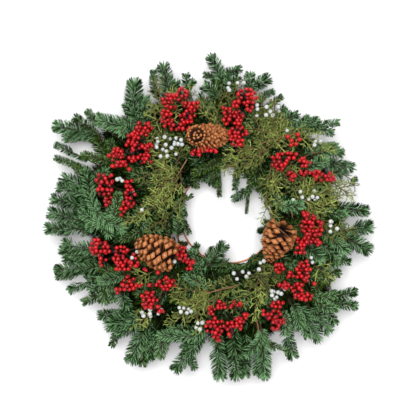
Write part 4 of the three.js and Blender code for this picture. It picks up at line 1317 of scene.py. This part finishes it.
# How the scales of a cone stand. They lean less towards its apex and in a closed cone. Their roots lie round
# its axis, at a share of its width there.
scaleForm = {
    "turnSpread": 0.07,
    "lean": 112,
    "apexLess": 82,
    "closedLess": 42,
    "leanSpread": 4,
    "seat": 0.3,
    "seatDepth": 0.6,
    "lengths": (0.9, 1.05),
    "halfWidth": 0.235,
    "usualCount": 100,
    "widths": (0.85, 1.1),
    "thickness": 0.7,
    "core": 0.42,
    "ringWidths": (0.9, 1.1),
    "ringLengths": (0.95, 1.03),
    "ringThickness": 0.75,
    "coreTone": 0.2,
    "cupTone": 0.1,
}

# The cup that closes a hollow, as heights and radii.
stubCup = {"heights": (78, 95.4, 96), "radii": (8.5, 11.5, 1.0)}

# Round the hollow and on the stub in it, rings of scales that stand on a circle: its height and radius, how
# far they lean out, how long and how wide they are, and their number.
stubRings = [
    [79, 9.5, 62, 11, 3.4, 16], [84, 9, 27, 15, 3.0, 15], [88, 3.6, 10, 14, 3.3, 6], [88, 0, 0, 14.5, 3.0, 1],
]


# A woody scale from its root (z 0) to its thick lip (z 1), with a raised umbo in the middle of its lip.
def scaleTemplate():
    outline = [(1, 0), (0.55, 0.54), (0, 1), (-0.55, 0.54), (-1, 0), (-0.55, -0.54), (0, -1), (0.55, -0.54)]
    sections = [(0, 0.35, 0.2, 0), (0.55, 0.72, 0.28, 0), (0.86, 0.94, 0.7, 0), (0.93, 1, 0.98, 0),
                (0.945, 0.97, 0.97, 0), (0.985, 0.5, 0.46, 0.1), (1, 0.2, 0.2, 0.75)]
    corners = [[across * wide, above * thick, at] for at, wide, thick, _ in sections
               for across, above in outline]
    tones = [[at, abs(across), 0, umbo] for at, _, _, umbo in sections for across, _ in outline]
    end, sides = len(corners), len(outline)
    corners.append([0, 0, 1.035])
    tones.append([1, 0, 0, 1])
    faces = bandFaces(len(sections), sides) + capFaces(end - sides, sides, end)
    return np.array(corners, float), np.array(faces), np.array(tones, float)


scaleCorners, scaleFaces, scaleTones = scaleTemplate()


# Copies of the scale, along the three directions and with the three sizes of each.
def scalesChunk(frames, scales, origins, chances):
    tones = np.tile(scaleTones[None], (len(origins), 1, 1))
    tones[:, :, 2] = chances[:, None]
    return copiesChunk(scaleCorners, scaleFaces, frames, scales, origins, tones, 0)


def coneWidth(share):
    return np.sin(math.pi * (0.1 + 0.9 * share) ** 0.62) ** 0.75


# A dark solid inside a cone, all in one tone.
def coneCore(line, radii, sides, tone):
    chunk = tubeChunk(line, radii, sides, 0, (0, 0, tone, 0))
    chunk[2][:, 0] = tone
    return chunk


def buildCone(i, look, random):
    base, apex = np.array(look["base"], float), np.array(look["apex"], float)
    axis = unit(apex - base)
    length, radius, count = np.linalg.norm(apex - base), look["radius"], look["scales"]
    side = unit(np.cross(axis, [0, 0, 1.0]))
    above = np.cross(side, axis)
    fine = np.linspace(0, 0.95, 200)
    filled = np.cumsum(coneWidth(fine))
    share = np.interp((np.arange(count) + 0.5) / count, filled / filled[-1], fine)
    turn = np.arange(count) * goldenAngle + random.normal(0, scaleForm["turnSpread"], count)
    out = side * np.cos(turn)[:, None] + above * np.sin(turn)[:, None]
    lean = scaleForm["lean"] - scaleForm["apexLess"] * share ** 0.8
    lean = lean - scaleForm["closedLess"] * (1 - look["open"]) * (1 - share)
    lean = np.radians(lean + random.normal(0, scaleForm["leanSpread"], count))
    width = coneWidth(np.clip(share + 0.03, 0, 1)) * (1 - look["taper"] * share)
    seat = radius * scaleForm["seat"] * width
    way = out * np.sin(lean)[:, None] + axis * np.cos(lean)[:, None]
    origins = base + axis * (share * length * 0.9)[:, None] + out * (seat * scaleForm["seatDepth"])[:, None]
    reach = radius * width * random.uniform(*scaleForm["lengths"], count) - seat * 0.5
    reach = reach * np.where(look["open"] < 0.5, 1 / np.maximum(np.sin(lean), 0.7), 1.0)
    across = unit(np.cross(axis, out))
    half = radius * (0.25 + 0.75 * width) * scaleForm["halfWidth"]
    half = half * math.sqrt(scaleForm["usualCount"] / count) * random.uniform(*scaleForm["widths"], count)
    frames = np.stack([across, np.cross(way, across), way], axis=1)
    scales = np.stack([half, half * scaleForm["thickness"], reach], axis=1)
    chances = random.random(count)
    hollowX, hollowY, hollowReach = look["hollow"]
    tips = origins + way * reach[:, None]
    kept = (np.hypot(tips[:, 0] - hollowX, tips[:, 1] - hollowY) > hollowReach) | (tips[:, 2] < base[2])
    chunks = [scalesChunk(frames[kept], scales[kept], origins[kept], chances[kept])]
    coreLine = base + axis[None, :] * (np.linspace(0.0, 0.94, 12) * length)[:, None]
    coreRadii = radius * scaleForm["core"] * coneWidth(np.linspace(0.05, 0.96, 12))
    chunks.append(coneCore(coreLine, coreRadii, 12, scaleForm["coreTone"]))
    if look["stub"]:
        cup = np.array([[hollowX, hollowY, height] for height in stubCup["heights"]])
        chunks.append(coneCore(cup, stubCup["radii"], 16, scaleForm["cupTone"]))
        for ringOfScales in stubRings:
            chunks.append(scaleRing(hollowX, hollowY, *ringOfScales, random))
    pieceFrom(f"pineCone{i + 1}", chunks, [coneScale], f"pine_cone_{i + 1}")


# Scales that stand in a ring and lean outwards.
def scaleRing(x, y, height, radius, lean, reach, half, count, random):
    turn = 2 * math.pi * (np.arange(count) + random.uniform(-0.2, 0.2, count)) / count
    out = np.stack([np.cos(turn), np.sin(turn), np.zeros(count)], axis=1)
    tilt = np.radians(lean + random.normal(0, scaleForm["leanSpread"], count))[:, None]
    way = out * np.sin(tilt) + np.array([0, 0, 1.0]) * np.cos(tilt)
    across = unit(np.cross(way, out + [0, 0, -0.01]))
    frames = np.stack([across, np.cross(way, across), way], axis=1)
    widths = half * random.uniform(*scaleForm["ringWidths"], count)
    lengths = reach * random.uniform(*scaleForm["ringLengths"], count)
    scales = np.stack([widths, widths * scaleForm["ringThickness"], lengths], axis=1)
    return scalesChunk(frames, scales, out * radius + [x, y, height], random.random(count))


# The middles of the loops of corners that a CAD wire is made of, from its foot up.
def wireMiddles(node):
    closeTo = 3.0
    corners = [np.array(v.co) / mm - np.array(hub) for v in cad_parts[node].data.vertices]
    groups = []
    for corner in corners:
        for group in groups:
            if np.linalg.norm(group[0] - corner) < closeTo:
                group.append(corner)
                break
        else:
            groups.append([corner])
    middles = [np.mean(group, axis=0) for group in groups]
    path = [min(middles, key=lambda middle: middle[2])]
    left = [middle for middle in middles if middle is not path[0]]
    while left:
        nearest = min(range(len(left)), key=lambda k: np.linalg.norm(left[k] - path[-1]))
        path.append(left.pop(nearest))
    return path


# The radius, the number of sides and the material's place of the thinner copper wires.
thinWire = (1.0, 8, 0)


def buildCones():
    random = np.random.default_rng(41)
    for i, look in enumerate(cones):
        buildCone(i, look, random)
        chunk = rodChunk(wireMiddles(f"cone_wire_{i + 1}"), 20, *thinWire)
        pieceFrom(f"coneWire{i + 1}", [chunk], [copper], f"cone_wire_{i + 1}", lifted=False)


buildCones()
print("cones made")

# Bare twigs on top of the greens: the points that they pass, as x, y and height, and their radius.
strayTwigs = [
    [[[-53, -146, 62], [-20, -136, 68], [11, -130, 64]], 1.3],
    [[[-77, 101, 60], [-88, 82, 66], [-100, 62, 60]], 1.1],
    [[[100, 176, 60], [92, 168, 66], [86, 161, 62]], 1], [[[110, 18, 62], [113, 6, 67], [115, -5, 62]], 1],
    [[[48, -187, 58], [52, -200, 62], [54, -214, 58]], 1.1],
    [[[78, -16, 96], [98, -32, 100], [117, -49, 92]], 0.6],
    [[[58, 130, 62], [92, 140, 68], [130, 150, 62]], 1],
]
looseWires = [
    [[-61, -60, 4], [-50, -76, 8], [-34, -90, 9], [-26, -99, 4]],
]


def buildOddments():
    steps = 12
    for i, (points, radius) in enumerate(strayTwigs):
        chunk = rodChunk(points, steps, np.linspace(radius, radius * 0.7, steps), 7, 0)
        pieceFrom(f"strayTwig{i + 1}", [chunk], [twigBark], None)
    for i, points in enumerate(looseWires):
        chunk = rodChunk(points, 16, *thinWire)
        pieceFrom(f"looseWire{i + 1}", [chunk], [copper], None, lifted=False)


buildOddments()
print("oddments made")

view = {"across": 761, "focus": 45, "distance": 2500, "x": -0.9, "y": 22.5, "sensor": 36, "clipEnd": 20}
paper = {
    "half": 6,
    "start": (238, 238, 238),
    "layers": [("patch", 0.0, 1.0, 0.0, 1.0, (240, 240, 240))],
    "scales": (3.0, 60.0),
    "shader": {"Roughness": 0.9, "Specular IOR Level": 0.1},
}
skyStrength = 0.42

# Each lamp: its name, where it stands, its strength and how many degrees it spreads over.
lamps = [
    ["keyLamp", (-0.35, 0.8, 2.8), 3.1, 50],
    ["fillLamp", (0.7, -0.5, 2.6), 0.6, 80],
]


def inScene(name, data):
    thing = bpy.data.objects.new(name, data)
    bpy.context.scene.collection.objects.link(thing)
    return thing


def buildStage():
    scene = bpy.context.scene
    camera = bpy.data.cameras.new("photoCamera")
    camera.sensor_width = view["sensor"]
    camera.lens = view["sensor"] * view["distance"] / view["across"]
    camera.clip_end = view["clipEnd"]
    scene.camera = inScene("photoCamera", camera)
    scene.camera.location = Vector((view["x"], view["y"], view["focus"] + view["distance"])) * mm

    mesh = bpy.data.meshes.new("floor")
    half = paper["half"]
    corners = [(-half, -half, 0), (half, -half, 0), (half, half, 0), (-half, half, 0)]
    mesh.from_pydata(corners, [], [(0, 1, 2, 3)])
    material, tree, shader, masks = newMaterial("floorPaper", paper)
    tree.links.new(layered(tree, paper, masks, linear(*paper["start"])), shader.inputs["Base Color"])
    mesh.materials.append(material)
    inScene("floor", mesh)

    world = bpy.data.worlds.new("softWorld")
    world.use_nodes = True
    background = world.node_tree.nodes["Background"]
    background.inputs["Color"].default_value = (1, 1, 1, 1)
    background.inputs["Strength"].default_value = skyStrength
    scene.world = world
    for name, place, strength, spread in lamps:
        light = bpy.data.lights.new(name, "SUN")
        light.energy = strength
        light.angle = math.radians(spread)
        lamp = inScene(name, light)
        lamp.location = place
        lamp.rotation_euler = (-Vector(place)).to_track_quat("-Z", "Y").to_euler()
    scene.view_settings.view_transform = "Standard"


buildStage()
